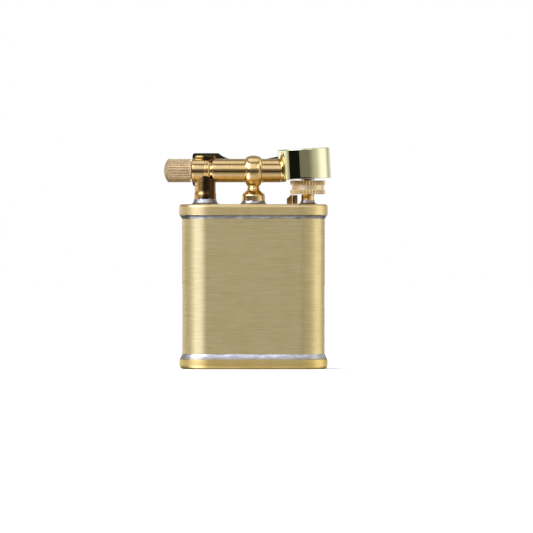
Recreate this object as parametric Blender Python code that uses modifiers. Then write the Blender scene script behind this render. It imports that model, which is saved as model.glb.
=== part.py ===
"""A brass lift-arm pocket lighter, as an assembly of separate pieces.

Frame: origin at the middle of the base's underside, +X towards the snuffer cap, +Y to the back, +Z up.
All sizes and places below are in millimetres; the helpers turn them into metres.
"""

import math

import bpy
import bmesh
from mathutils import Vector

MM = 0.001
GAP = 0.05            # assembly clearance between pieces that touch
RUN = 0.06            # running clearance of a turning or sliding piece

# Tank: a stadium-section tube between two flanged plates
SHELL_HALF_WIDTH = 18.4
SHELL_RADIUS = 6.4    # half the tank's depth, and the radius of its two ends
SHELL_WALL = 0.8
PLATE_OVERHANG = 0.75
BASE_THICK = 2.6
TOP_Z = 42.5
TOP_THICK = 2.8
SPIGOT_DEPTH = 1.4    # how far each plate reaches into the tube
PLATE_UNDER_Z = TOP_Z - TOP_THICK
SPIGOT_Z = PLATE_UNDER_Z - SPIGOT_DEPTH
SEAM_WIDE = 0.6
SEAM_HIGH = 1.0

# Flint barrel, which runs along X above the tank
BARREL_Z = 51.17
BARREL_RADIUS = 2.94
BARREL_LEFT = -15.9
BARREL_RIGHT = 7.0
FLINT_BORE = 1.5
THREAD_BORE = 1.75
THREAD_END = -9.0
GROOVE_X = -11.06
GROOVE_HALF = 0.6
FORK_BORE = 2.25      # counterbore that takes the fork's spigot
FORK_SPIGOT = 1.5

# Posts
PIVOT_POST_X = -12.43
PIVOT_POST_RADIUS = 2.7
POST_SPIGOT = 1.75
BALL_RADIUS = 3.9
BALL_HALF_WIDTH = 2.25

# Arm pivot
PIVOT_X = -12.3
PIVOT_Z = 51.3
BOSS_RADIUS = 3.6
BOSS_FRONT = 2.8
BOSS_BACK = 3.95
ARM_FRONT = 4.05
ARM_THICK = 0.8
ARM_BACK = ARM_FRONT + ARM_THICK
PIVOT_SHOULDER = 1.3
PIVOT_THREAD = 0.9
LEAF_Y = (ARM_FRONT + ARM_BACK) / 2
LEAF_RIVET_X = -11.0

# Snuffer cap, set on the arm at a small tilt
CAP_X = 13.1
CAP_Z = 52.9
CAP_RADIUS = 6.7
CAP_HALF_HIGH = 3.9
CAP_WALL = 0.6
CAP_ROOF = 0.7
CAP_TILT = math.radians(3.0)
NOTCH_RADIUS = 3.25
TAB_THICK = 0.7
RIVET_ANGLES = (math.radians(126), math.radians(106))

# Burner, ring and valve
BURNER_X = 14.0
STEM_RADIUS = 1.675
NECK_RADIUS = 1.15
RING_LOW = 45.08
RING_HIGH = 48.62
RIM_HIGH = 1.15
RING_RADIUS = 4.52
RING_NECK = 4.12
RING_TEETH = 34
TOOTH_DEEP = 0.3
NOZZLE_TOP = 52.05
NOZZLE_RADIUS = 0.8
NOZZLE_STEM = 0.55
CHAMBER_RADIUS = 1.7
CHAMBER_FLOOR = 30.5
CHAMBER_ROOF = 35.6
SEAL_ROOF = 38.0

# Spark wheel
WHEEL_X = 11.0
WHEEL_Z = 52.4
SPARK_RADIUS = 1.95
SPARK_HALF = 1.3
THUMB_RADIUS = 2.25
THUMB_WIDE = 0.85
AXLE_RADIUS = 0.6
EAR_INNER = 2.25
EAR_OUTER = 2.75

# Flint screw
KNOB_LEFT = -23.07
KNOB_RIGHT = -16.1
KNOB_TEETH = 26
SCREW_THREAD = 1.65
SCREW_END = -9.5
SCREW_PIN = 0.7

# Fill valve in the base
FILL_X = -9.0
FILL_FLANGE = 2.8
FILL_RADIUS = 2.0
FILL_TOP = 9.0

ROUND = 28            # sides of a large turned piece
SMALL = 16            # sides of a small one


# ---------------------------------------------------------------- scene helpers
for old in list(bpy.data.objects):
    bpy.data.objects.remove(old, do_unlink=True)

lighter = bpy.data.collections.new("lift_arm_lighter")
cutters = bpy.data.collections.new("cutters")
bpy.context.scene.collection.children.link(lighter)
bpy.context.scene.collection.children.link(cutters)


def material(name, colour, roughness, metallic):
    made = bpy.data.materials.new(name)
    made.use_nodes = True
    shader = made.node_tree.nodes["Principled BSDF"]
    shader.inputs["Base Color"].default_value = (*colour, 1.0)
    shader.inputs["Roughness"].default_value = roughness
    shader.inputs["Metallic"].default_value = metallic
    made.diffuse_color = (*colour, 1.0)
    return made


BRUSHED_BRASS = material("brushed_brass", (0.46, 0.37, 0.17), 0.38, 1.0)
TURNED_BRASS = material("turned_brass", (0.62, 0.42, 0.16), 0.22, 1.0)
KNURLED_BRASS = material("knurled_brass", (0.55, 0.40, 0.20), 0.42, 1.0)
POLISHED_GOLD = material("polished_gold", (0.80, 0.74, 0.45), 0.06, 1.0)
SOLDER = material("solder", (0.50, 0.50, 0.51), 0.40, 1.0)
SPRING_STEEL = material("spring_steel", (0.45, 0.45, 0.46), 0.25, 1.0)
FILE_STEEL = material("file_steel", (0.16, 0.16, 0.17), 0.45, 1.0)
FLINT_GREY = material("flint_grey", (0.10, 0.09, 0.08), 0.70, 0.6)
SEAL_RUBBER = material("seal_rubber", (0.02, 0.02, 0.02), 0.60, 0.0)
FILTER_FOAM = material("filter_foam", (0.75, 0.73, 0.68), 0.90, 0.0)


def place(obj, collection, at=(0, 0, 0), axis="Z"):
    """Puts obj in its collection, at a point in mm, with its own Z along the axis named."""
    turns = {"Z": (0, 0, 0), "X": (0, math.pi / 2, 0), "Y": (-math.pi / 2, 0, 0)}
    obj.rotation_euler = turns[axis]
    obj.location = Vector(at) * MM
    collection.objects.link(obj)
    return obj


def as_cutter(obj):
    obj.hide_render = True
    obj.display_type = "WIRE"
    return obj


def shade(obj, finish):
    if finish is not None:
        obj.data.materials.append(finish)
    return obj


def turned(name, profile, finish=None, at=(0, 0, 0), axis="Z", sides=ROUND, ring=False, cutter=False):
    """A turned piece. profile is (radius, height) down the outer side; a ring's profile closes on itself."""
    mesh = bpy.data.meshes.new(name)
    points = [(r * MM, 0.0, h * MM) for r, h in profile]
    edges = [(i, i + 1) for i in range(len(points) - 1)]
    if ring:
        edges.append((len(points) - 1, 0))
    mesh.from_pydata(points, edges, [])
    obj = bpy.data.objects.new(name, mesh)
    spin = obj.modifiers.new("turn", "SCREW")
    spin.axis = "Z"
    spin.angle = math.tau
    spin.steps = spin.render_steps = sides
    spin.use_merge_vertices = True
    spin.merge_threshold = 0.00001
    spin.use_smooth_shade = True
    place(obj, cutters if cutter else lighter, at, axis)
    return as_cutter(obj) if cutter else shade(obj, finish)


def tube_profile(outer, inner, top, bottom):
    """The closed profile of a plain ring."""
    return [(outer, top), (outer, bottom), (inner, bottom), (inner, top)]


def rod_profile(radius, top, bottom, chamfer=0.0):
    """The open profile of a plain rod, with its two rims chamfered."""
    if not chamfer:
        return [(0, top), (radius, top), (radius, bottom), (0, bottom)]
    inner = radius - chamfer
    return [(0, top), (inner, top), (radius, top - chamfer),
            (radius, bottom + chamfer), (inner, bottom), (0, bottom)]


def plate(name, outline, thick, finish=None, at=(0, 0, 0), axis="Z", cutter=False):
    """A flat plate from one outline in its own XY plane. at is the middle of its thickness."""
    mesh = bpy.data.meshes.new(name)
    mesh.from_pydata([(x * MM, y * MM, 0.0) for x, y in outline], [], [range(len(outline))])
    obj = place(bpy.data.objects.new(name, mesh), cutters if cutter else lighter, at, axis)
    thicken = obj.modifiers.new("thickness", "SOLIDIFY")
    thicken.thickness = thick * MM
    thicken.offset = 0.0
    return as_cutter(obj) if cutter else shade(obj, finish)


def stadium(half_width, radius, per_end=12):
    """Outline of two half circles joined by straight sides, anticlockwise from the right end's foot."""
    centre = half_width - radius
    points = []
    for side, start in ((1, -math.pi / 2), (-1, math.pi / 2)):
        for i in range(per_end + 1):
            angle = start + math.pi * i / per_end
            points.append((side * centre + radius * math.cos(angle), radius * math.sin(angle)))
    return points


def tank_piece(name, profile, finish, ring=False):
    """A piece that follows the tank's outline. profile is (offset from the tank's face, height) down the
    outer side; a ring's profile closes on itself, and any other is capped flat at both ends."""
    rows = [[(x * MM, y * MM, z * MM) for x, y in stadium(SHELL_HALF_WIDTH + out, SHELL_RADIUS + out)]
            for out, z in profile]
    count = len(rows[0])
    faces = []
    for row in range(len(rows) if ring else len(rows) - 1):
        above, below = row * count, (row + 1) % len(rows) * count
        for i in range(count):
            after = (i + 1) % count
            faces.append((below + i, below + after, above + after, above + i))
    if not ring:
        last = (len(rows) - 1) * count
        faces.append(range(count))
        faces.append([last + i for i in reversed(range(count))])
    mesh = bpy.data.meshes.new(name)
    mesh.from_pydata([point for row in rows for point in row], [], faces)
    mesh.shade_smooth()
    mesh.set_sharp_from_angle(angle=math.radians(35))
    return shade(place(bpy.data.objects.new(name, mesh), lighter), finish)


def toothed(count, outer, deep):
    """Outline of a straight knurl: pointed teeth round a circle."""
    points = []
    for i in range(2 * count):
        radius = outer if i % 2 else outer - deep
        angle = math.pi * i / count
        points.append((radius * math.cos(angle), radius * math.sin(angle)))
    return points


def arc(centre, radius, first, last, steps):
    """Points round an arc, with angles in degrees."""
    found = []
    for i in range(steps + 1):
        angle = math.radians(first + (last - first) * i / steps)
        found.append((centre[0] + radius * math.cos(angle), centre[1] + radius * math.sin(angle)))
    return found


def block(name, low, high, finish=None, cutter=False):
    """A box between two corners in mm."""
    mesh = bpy.data.meshes.new(name)
    shape = bmesh.new()
    bmesh.ops.create_cube(shape, size=1.0)
    size = [b - a for a, b in zip(low, high)]
    bmesh.ops.scale(shape, vec=Vector(size) * MM, verts=shape.verts)
    shape.to_mesh(mesh)
    shape.free()
    middle = [(a + b) / 2 for a, b in zip(low, high)]
    obj = place(bpy.data.objects.new(name, mesh), cutters if cutter else lighter, middle)
    return as_cutter(obj) if cutter else shade(obj, finish)


def boolean(obj, other, operation="DIFFERENCE"):
    step = obj.modifiers.new(f"{operation.lower()}_{other.name}", "BOOLEAN")
    step.operation = operation
    step.object = other
    return obj


def drill(name, radius, start, length, axis, sides=SMALL):
    """A drill's cylinder, from start along the axis."""
    return turned(name, rod_profile(radius, length, 0), at=start, axis=axis, sides=sides, cutter=True)


def coil(name, centre_radius, wire, start, length, turns, axis, finish=SPRING_STEEL):
    """A compression spring as a wire wound round an axis."""
    data = bpy.data.curves.new(name, "CURVE")
    data.dimensions = "3D"
    data.bevel_depth = wire * MM
    data.bevel_resolution = 2
    data.use_fill_caps = True
    per_turn = 8
    count = int(turns * per_turn) + 1
    spline = data.splines.new("POLY")
    spline.points.add(count - 1)
    for i, point in enumerate(spline.points):
        angle = math.tau * i / per_turn
        along = wire + (length - 2 * wire) * i / (count - 1)
        point.co = (centre_radius * math.cos(angle) * MM, centre_radius * math.sin(angle) * MM,
                    along * MM, 1.0)
    obj = place(bpy.data.objects.new(name, data), lighter, start, axis)
    return shade(obj, finish)


def joint_axis(name, at, axis="Z"):
    """An empty on a joint's axis, which carries the pieces that move about it."""
    obj = bpy.data.objects.new(name, None)
    obj.empty_display_size = 3 * MM
    return place(obj, lighter, at, axis)


def carried_by(empty, *pieces):
    bpy.context.view_layer.update()
    for piece in pieces:
        piece.parent = empty
        piece.matrix_parent_inverse = empty.matrix_world.inverted()


# ---------------------------------------------------------------- shared cutters
barrel_hollow = drill("barrel_hollow", BARREL_RADIUS + GAP, (-20, 0, BARREL_Z), 40, "X", ROUND)


# ---------------------------------------------------------------- tank
def make_tank():
    low, high = BASE_THICK + GAP, PLATE_UNDER_Z - GAP
    tank_piece("tank_shell", [(0, high), (0, low), (-SHELL_WALL, low), (-SHELL_WALL, high)],
               BRUSHED_BRASS, ring=True)

    out, spigot = PLATE_OVERHANG, -SHELL_WALL - GAP
    top = tank_piece("top_plate", [(out - 0.45, TOP_Z), (out - 0.12, TOP_Z - 0.12), (out, TOP_Z - 0.45),
                                   (out, PLATE_UNDER_Z + 0.15), (out - 0.15, PLATE_UNDER_Z),
                                   (spigot, PLATE_UNDER_Z), (spigot, SPIGOT_Z)], BRUSHED_BRASS)
    for name, x in (("pivot_post_hole", PIVOT_POST_X), ("ball_post_hole", 0.0)):
        boolean(top, drill(name, POST_SPIGOT + GAP, (x, 0, SPIGOT_Z - 1), 8, "Z"))
    boolean(top, drill("valve_hole", POST_SPIGOT + GAP, (BURNER_X, 0, SPIGOT_Z - 1), 8, "Z"))
    boolean(top, drill("plate_rivet_hole", 0.45, (LEAF_RIVET_X, LEAF_Y, TOP_Z - 1.5), 2.5, "Z"))

    base = tank_piece("base_plate", [(spigot, BASE_THICK + SPIGOT_DEPTH), (spigot, BASE_THICK),
                                     (out - 0.15, BASE_THICK), (out, BASE_THICK - 0.15), (out, 1.0),
                                     (out - 0.3, 0.3), (out - 1.0, 0)], BRUSHED_BRASS)
    boolean(base, drill("fill_hole", FILL_RADIUS + GAP, (FILL_X, 0, -1), 8, "Z"))
    boolean(base, drill("fill_recess", FILL_FLANGE + GAP, (FILL_X, 0, -1), 1.75, "Z"))


def make_seams():
    """The two fillets of solder round the tank, where it meets its plates."""
    wide, thin, inside = SEAM_WIDE, 2 * GAP + 0.05, GAP
    high = PLATE_UNDER_Z - GAP
    tank_piece("solder_seam_top", [(wide, high), (0.45 * wide, high - 0.35 * SEAM_HIGH),
                                   (thin, high - SEAM_HIGH), (inside, high - SEAM_HIGH), (inside, high)],
               SOLDER, ring=True)
    low = BASE_THICK + GAP
    tank_piece("solder_seam_base", [(inside, low + SEAM_HIGH), (thin, low + SEAM_HIGH),
                                    (0.45 * wide, low + 0.35 * SEAM_HIGH), (wide, low), (inside, low)],
               SOLDER, ring=True)


def make_solder_foot(name, x, post_radius, spread, high):
    """A fillet of solder round the foot of a post."""
    inner = post_radius + GAP
    profile = [(inner + 0.12, high), (inner + 0.22 * spread, 0.5 * high), (inner + 0.55 * spread, 0.2 * high),
               (inner + spread, 0.0), (inner, 0.0), (inner, high)]
    turned(name, profile, SOLDER, (x, 0, TOP_Z + GAP), ring=True, sides=ROUND)


# ---------------------------------------------------------------- posts and barrel
def make_pivot_post():
    foot = TOP_Z + GAP
    profile = [(0, 51.0), (PIVOT_POST_RADIUS, 51.0), (PIVOT_POST_RADIUS, 45.4), (PIVOT_POST_RADIUS + 0.12, 45.2),
               (PIVOT_POST_RADIUS + 0.12, foot), (POST_SPIGOT, foot), (POST_SPIGOT, SPIGOT_Z), (0, SPIGOT_Z)]
    post = turned("pivot_post", profile, TURNED_BRASS, (PIVOT_POST_X, 0, 0))
    boolean(post, barrel_hollow)


def make_ball_post():
    """A turned stanchion: drum, cone and neck below a ball that is faced flat on both sides."""
    foot = TOP_Z + GAP
    ball = [(BALL_RADIUS * math.sin(a), BARREL_Z + BALL_RADIUS * math.cos(a))
            for a in (math.radians(12 * i) for i in range(14))]
    stem = [(1.5, 47.3), (1.42, 46.9), (1.5, 46.5), (2.1, 45.9), (2.75, 45.2), (2.95, 44.9), (2.95, foot),
            (POST_SPIGOT, foot), (POST_SPIGOT, SPIGOT_Z), (0, SPIGOT_Z)]
    post = turned("ball_post", [(0.0, ball[0][1])] + ball[1:] + stem, TURNED_BRASS)
    boolean(post, barrel_hollow)
    for side in (-1, 1):
        low = side * BALL_HALF_WIDTH
        name = "ball_facing_right" if side > 0 else "ball_facing_left"
        corners = sorted((low, low + side * 4))
        boolean(post, block(name, (corners[0], -5, 47.6), (corners[1], 5, 56), cutter=True))


def make_barrel():
    length = BARREL_RIGHT - BARREL_LEFT
    groove = GROOVE_X - BARREL_LEFT
    thread = THREAD_END - BARREL_LEFT
    rim = BARREL_RADIUS - 0.2
    profile = [(rim, length), (BARREL_RADIUS, length - 0.05), (BARREL_RADIUS, groove + GROOVE_HALF),
               (BARREL_RADIUS - GROOVE_HALF, groove), (BARREL_RADIUS, groove - GROOVE_HALF),
               (BARREL_RADIUS, 0.2), (rim, 0), (THREAD_BORE, 0), (THREAD_BORE, thread), (FLINT_BORE, thread),
               (FLINT_BORE, length - FORK_SPIGOT), (FORK_BORE, length - FORK_SPIGOT), (FORK_BORE, length)]
    barrel = turned("flint_barrel", profile, TURNED_BRASS, (BARREL_LEFT, 0, BARREL_Z), "X", ring=True)
    boolean(barrel, drill("barrel_screw_hole", PIVOT_THREAD + GAP, (PIVOT_X, 1.2, PIVOT_Z), 4, "Y"))


def make_fork():
    """The barrel's nose: a bored ring with a spigot in the barrel, and two ears for the wheel's axle."""
    spigot = FORK_BORE - GAP
    bore = FLINT_BORE
    ring_end = 1.5
    profile = [(BARREL_RADIUS - 0.3, ring_end), (BARREL_RADIUS, ring_end - 0.3), (BARREL_RADIUS, GAP),
               (spigot, GAP), (spigot, GAP - FORK_SPIGOT), (bore, GAP - FORK_SPIGOT), (bore, ring_end)]
    fork = turned("wheel_fork", profile, TURNED_BRASS, (BARREL_RIGHT, 0, BARREL_Z), "X", ring=True)
    root = BARREL_RIGHT + 0.3
    nose = arc((WHEEL_X, WHEEL_Z), 1.25, -80, 80, 8)
    outline = [(root, BARREL_Z - 1.3), (root + 1.6, BARREL_Z - 1.3)] + nose + [(root, BARREL_Z + 1.3)]
    flat = [(x, -z) for x, z in outline]
    for side in (-1, 1):
        name = "ear_back" if side > 0 else "ear_front"
        inner, outer = EAR_INNER, EAR_OUTER
        y = side * (inner + outer) / 2
        ear = plate(name, flat, outer - inner, at=(0, y, 0), axis="Y", cutter=True)
        boolean(fork, ear, "UNION")
    boolean(fork, drill("axle_hole", AXLE_RADIUS + GAP, (WHEEL_X, -5, WHEEL_Z), 10, "Y"))


def make_boss():
    boss = turned("pivot_boss", rod_profile(BOSS_RADIUS, BOSS_BACK - BOSS_FRONT, 0, 0.15), TURNED_BRASS,
                  (PIVOT_X, BOSS_FRONT, PIVOT_Z), "Y")
    boolean(boss, barrel_hollow)
    boolean(boss, drill("boss_screw_hole", PIVOT_THREAD + GAP, (PIVOT_X, 1.2, PIVOT_Z), 4, "Y"))


def make_pivot_screw():
    """A shoulder screw: slotted head behind the arm, shoulder through it, thread into the boss."""
    washer_back = ARM_BACK + 0.3
    head = 0.8
    top = washer_back + GAP + head
    thread_end = 1.75
    profile = [(0, top), (1.75, top), (2.0, top - 0.25), (2.0, top - head), (PIVOT_SHOULDER, top - head),
               (PIVOT_SHOULDER, BOSS_BACK + GAP), (PIVOT_THREAD, BOSS_BACK + GAP), (PIVOT_THREAD, thread_end),
               (0, thread_end)]
    screw = turned("pivot_screw", profile, TURNED_BRASS, (PIVOT_X, 0, PIVOT_Z), "Y", sides=SMALL)
    slot = block("pivot_screw_slot", (PIVOT_X - 0.25, top - 0.4, PIVOT_Z - 3),
                 (PIVOT_X + 0.25, top + 1, PIVOT_Z + 3), cutter=True)
    boolean(screw, slot)
    turned("pivot_washer", tube_profile(2.3, PIVOT_SHOULDER + RUN, 0.2, 0), SPRING_STEEL,
           (PIVOT_X, ARM_BACK + GAP, PIVOT_Z), "Y", sides=SMALL, ring=True)


def make_arm_spring():
    """A C-shaped leaf behind the pivot post. Its top bears on the arm's flat end and holds the arm shut or open."""
    thick = 0.3
    low, high = TOP_Z + GAP, PIVOT_Z - 4.45
    bend = (high - low) / 2
    middle = low + bend
    outer = arc((-13.0, middle), bend, 90, 270, 10)
    inner = arc((-13.0, middle), bend - thick, 270, 90, 10)
    tip = -11.0
    outline = [(tip, high)] + outer + [(-10.2, low), (-10.2, low + thick)] + inner + [(tip, high - thick)]
    leaf = plate("arm_spring", [(x, -z) for x, z in outline], 1.5, SPRING_STEEL, (0, LEAF_Y, 0), "Y")
    boolean(leaf, drill("spring_rivet_hole", 0.45, (LEAF_RIVET_X, LEAF_Y, low - 0.5), 1.2, "Z"))
    turned("spring_rivet", [(0, 0.35), (0.45, 0.3), (0.7, 0.05), (0.4, 0.05), (0.4, -1.6), (0, -1.6)],
           TURNED_BRASS, (LEAF_RIVET_X, LEAF_Y, low + thick), sides=SMALL)


# ---------------------------------------------------------------- arm and cap
def arm_outline():
    """The arm seen from the front: an end plate round the pivot, a slim strip, and a rise to the cap."""
    bottom = PIVOT_Z - 4.35
    left = PIVOT_X - 3.45
    top = PIVOT_Z + 4.4
    corner = 0.8
    under = arc((left + 1.2, bottom + 1.2), 1.2, 180, 270, 4)
    over = arc((left + corner, top - corner), corner, 90, 180, 3)
    return under + [(-10.6, bottom), (-9.85, 48.5), (-8.4, 49.6), (-5.0, 50.1), (3.0, 50.1), (7.75, 49.7),
                    (7.75, 54.75), (6.0, 54.7), (3.0, 54.0), (-1.0, 53.7), (-5.5, 53.9), (-7.2, 54.2),
                    (-8.2, 54.75), (-9.15, top)] + over


def make_arm():
    flat = [(x, -z) for x, z in arm_outline()]
    arm = plate("snuffer_arm", flat, ARM_THICK, POLISHED_GOLD, (0, (ARM_FRONT + ARM_BACK) / 2, 0), "Y")
    boolean(arm, drill("arm_pivot_hole", PIVOT_SHOULDER + RUN, (PIVOT_X, 0, PIVOT_Z), 8, "Y"))
    inner = CAP_RADIUS + GAP
    outer = inner + TAB_THICK
    tab = arc((CAP_X, 0), outer, 96, 142, 8) + arc((CAP_X, 0), inner, 142, 96, 8)
    boolean(arm, plate("arm_tab", tab, 4.7, at=(0, 0, 52.1), cutter=True), "UNION")
    for name, angle in zip(("tab_hole_outer", "tab_hole_inner"), RIVET_ANGLES):
        boolean(arm, radial_rod(name, 0.5, 5.0, 9.0, angle, cutter=True))
    return arm


def radial_rod(name, radius, near, far, angle, finish=None, cutter=False, head=0.0):
    """A rod that points away from the cap's axis, between two distances from it."""
    profile = rod_profile(radius, far, near)
    if head:
        profile = [(0, far + 0.3), (0.5 * head, far + 0.25), (head, far), (radius, far), (radius, near), (0, near)]
    rod = turned(name, profile, finish, (CAP_X, 0, 52.1), sides=SMALL, cutter=cutter)
    rod.rotation_euler = (0, math.pi / 2, angle)
    return rod


def cap_local(along, up):
    """A point of the tilted cap, given along and up from its middle, in mm."""
    x = CAP_X + along * math.cos(CAP_TILT) - up * math.sin(CAP_TILT)
    z = CAP_Z + along * math.sin(CAP_TILT) + up * math.cos(CAP_TILT)
    return (x, 0, z)


def make_cap():
    """A bright drum, open below, with an arched notch on its left that clears the flint barrel."""
    high = CAP_HALF_HIGH
    roof = high - CAP_ROOF
    inner = CAP_RADIUS - CAP_WALL
    rounding = 0.35
    profile = [(0, high), (CAP_RADIUS - rounding, high), (CAP_RADIUS - 0.1, high - 0.1),
               (CAP_RADIUS, high - rounding), (CAP_RADIUS, -high), (inner, -high), (inner, roof), (0, roof)]
    cap = turned("snuffer_cap", profile, POLISHED_GOLD, cap_local(0, 0), sides=40)
    cap.rotation_euler = (0, -CAP_TILT, 0)
    boolean(cap, drill("notch_arch", NOTCH_RADIUS, (0, 0, BARREL_Z), 10.5, "X", ROUND))
    boolean(cap, block("notch_mouth", (0, -NOTCH_RADIUS, 44), (10.5, NOTCH_RADIUS, BARREL_Z), cutter=True))
    for name, angle in zip(("cap_hole_outer", "cap_hole_inner"), RIVET_ANGLES):
        boolean(cap, radial_rod(name, 0.5, 5.0, 9.0, angle, cutter=True))

    along = 0.86
    plug = turned("snuffer_plug", rod_profile(0.85, roof - GAP, -0.1), TURNED_BRASS, cap_local(along, 0),
                  sides=SMALL)
    pad = turned("snuffer_pad", rod_profile(0.85, -0.1 - GAP, -0.72), SEAL_RUBBER, cap_local(along, 0),
                 sides=SMALL)
    for piece in (plug, pad):
        piece.rotation_euler = (0, -CAP_TILT, 0)

    rivets = []
    for name, angle in zip(("cap_rivet_outer", "cap_rivet_inner"), RIVET_ANGLES):
        rivet = radial_rod(name, 0.42, CAP_RADIUS - CAP_WALL, CAP_RADIUS + GAP + TAB_THICK + GAP, angle,
                           TURNED_BRASS, head=0.75)
        rivets.append(rivet)
    return [cap, plug, pad] + rivets


# ---------------------------------------------------------------- burner valve
def make_valve():
    seat_bore = 0.35
    profile = [(NECK_RADIUS, RING_HIGH + 0.05), (NECK_RADIUS, 45.0), (STEM_RADIUS, 45.0), (STEM_RADIUS, TOP_Z),
               (POST_SPIGOT, TOP_Z - 0.1), (POST_SPIGOT, 37.8), (3.2, 37.8), (3.2, 37.2), (2.4, 37.2),
               (2.4, 27.5), (2.0, 27.5), (2.0, 29.5), (seat_bore, 29.5), (seat_bore, 33.0), (0.7, 33.0),
               (0.7, CHAMBER_FLOOR), (CHAMBER_RADIUS, CHAMBER_FLOOR), (CHAMBER_RADIUS, CHAMBER_ROOF),
               (NECK_RADIUS, CHAMBER_ROOF), (NECK_RADIUS, SEAL_ROOF), (NOZZLE_STEM + RUN, SEAL_ROOF),
               (NOZZLE_STEM + RUN, 49.2), (0.95, 49.2), (0.95, RING_HIGH + 0.05)]
    turned("valve_body", profile, TURNED_BRASS, (BURNER_X, 0, 0), ring=True)
    turned("valve_gasket", tube_profile(3.1, POST_SPIGOT + GAP, SPIGOT_Z - GAP, 37.85), SEAL_RUBBER,
           (BURNER_X, 0, 0), ring=True)
    turned("valve_filter", rod_profile(1.9, 29.45, 27.6), FILTER_FOAM, (BURNER_X, 0, 0))
    coil("valve_spring", 1.2, 0.14, (BURNER_X, 0, CHAMBER_FLOOR + GAP), 2.7, 3, "Z")
    turned("ring_clip", tube_profile(1.75, 0.95 + GAP, 49.05, RING_HIGH + 0.13), SPRING_STEEL,
           (BURNER_X, 0, 0), ring=True, sides=SMALL)


def make_nozzle():
    """The burner: it slides in the valve body, and a pad under its flange opens and shuts the gas."""
    profile = [(0, NOZZLE_TOP - 2.0), (0.25, NOZZLE_TOP - 2.0), (0.25, NOZZLE_TOP), (0.55, NOZZLE_TOP),
               (NOZZLE_RADIUS, NOZZLE_TOP - 0.3), (NOZZLE_RADIUS, 49.35), (NOZZLE_STEM, 49.35),
               (NOZZLE_STEM, 34.2), (1.5, 34.2), (1.5, 33.42), (0, 33.42)]
    nozzle = turned("burner_nozzle", profile, TURNED_BRASS, (BURNER_X, 0, 0), sides=SMALL)
    return nozzle


def make_ring():
    """The flame ring: two knurled rims with a plain neck between them."""
    rims = []
    for name, z in (("low_rim", RING_LOW + RIM_HIGH / 2), ("high_rim", RING_HIGH - RIM_HIGH / 2)):
        rims.append(plate(name, toothed(RING_TEETH, RING_RADIUS, TOOTH_DEEP), RIM_HIGH,
                          at=(BURNER_X, 0, z), cutter=True))
    neck = rod_profile(RING_NECK, RING_HIGH - 0.4, RING_LOW + 0.4)
    ring = turned("flame_ring", neck, TURNED_BRASS, (BURNER_X, 0, 0), sides=40)
    for rim in rims:
        boolean(ring, rim, "UNION")
    boolean(ring, drill("ring_bore", NECK_RADIUS + RUN, (BURNER_X, 0, 40), 12, "Z"))
    return ring


def make_ring_detent():
    """A chamfered bracket beside the stem, and the folded leaf in it that steadies the ring."""
    low = TOP_Z + GAP
    outline = [(8.58, low), (9.95, low), (9.95, 44.95), (9.7, 44.95), (8.58, 43.95)]
    plate("ring_bracket", [(x, -z) for x, z in outline], 2.6, TURNED_BRASS, (0, 0, 0), "Y")
    folds = [(10.02, -1.1), (10.3, -1.1), (10.3, 0.8), (10.6, 0.8), (10.6, -1.1), (11.35, -1.1), (11.35, 1.1),
             (11.07, 1.1), (11.07, -0.8), (10.88, -0.8), (10.88, 1.1), (10.02, 1.1)]
    plate("ring_leaf", folds, 2.3, SPRING_STEEL, (0, 0, low + 1.15))


# ---------------------------------------------------------------- spark wheel
def make_wheels():
    pieces = []
    teeth = {"spark_wheel": (28, SPARK_RADIUS, 0.18, 2 * SPARK_HALF, 0.0, FILE_STEEL),
             "thumb_wheel_front": (20, THUMB_RADIUS, 0.25, THUMB_WIDE,
                                   -(SPARK_HALF + GAP + THUMB_WIDE / 2), KNURLED_BRASS),
             "thumb_wheel_back": (20, THUMB_RADIUS, 0.25, THUMB_WIDE,
                                  SPARK_HALF + GAP + THUMB_WIDE / 2, KNURLED_BRASS)}
    for name, (count, radius, deep, wide, y, finish) in teeth.items():
        wheel = plate(name, toothed(count, radius, deep), wide, finish, (WHEEL_X, y, WHEEL_Z), "Y")
        boolean(wheel, drill(name + "_bore", AXLE_RADIUS + RUN, (WHEEL_X, -4, WHEEL_Z), 8, "Y"))
        pieces.append(wheel)
    reach = EAR_OUTER + GAP
    head = 0.25
    profile = [(0, reach + head), (0.7, reach + head), (0.95, reach + 0.05), (0.95, reach), (AXLE_RADIUS, reach),
               (AXLE_RADIUS, -reach), (0.95, -reach), (0.95, -reach - 0.05), (0.7, -reach - head),
               (0, -reach - head)]
    turned("wheel_axle", profile, SPRING_STEEL, (WHEEL_X, 0, WHEEL_Z), "Y", sides=SMALL)
    return pieces


# ---------------------------------------------------------------- flint train
def make_flint_screw():
    long = KNOB_RIGHT - KNOB_LEFT
    body = plate("flint_screw", toothed(KNOB_TEETH, BARREL_RADIUS, 0.22), long - 1.0, KNURLED_BRASS,
                 (KNOB_LEFT + 1.0 + (long - 1.0) / 2, 0, BARREL_Z), "X")
    core = BARREL_RADIUS - 0.24
    profile = [(0, SCREW_END - KNOB_LEFT + 2.0), (SCREW_PIN, SCREW_END - KNOB_LEFT + 2.0),
               (SCREW_PIN, SCREW_END - KNOB_LEFT), (SCREW_THREAD, SCREW_END - KNOB_LEFT),
               (SCREW_THREAD, long - 0.3), (core, long - 0.3), (core, 0.95), (2.35, 0.45), (1.6, 0.12),
               (0.8, 0.02), (0, 0)]
    shank = turned("screw_core", profile, at=(KNOB_LEFT, 0, BARREL_Z), axis="X", cutter=True)
    boolean(body, shank, "UNION")
    return body


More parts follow.
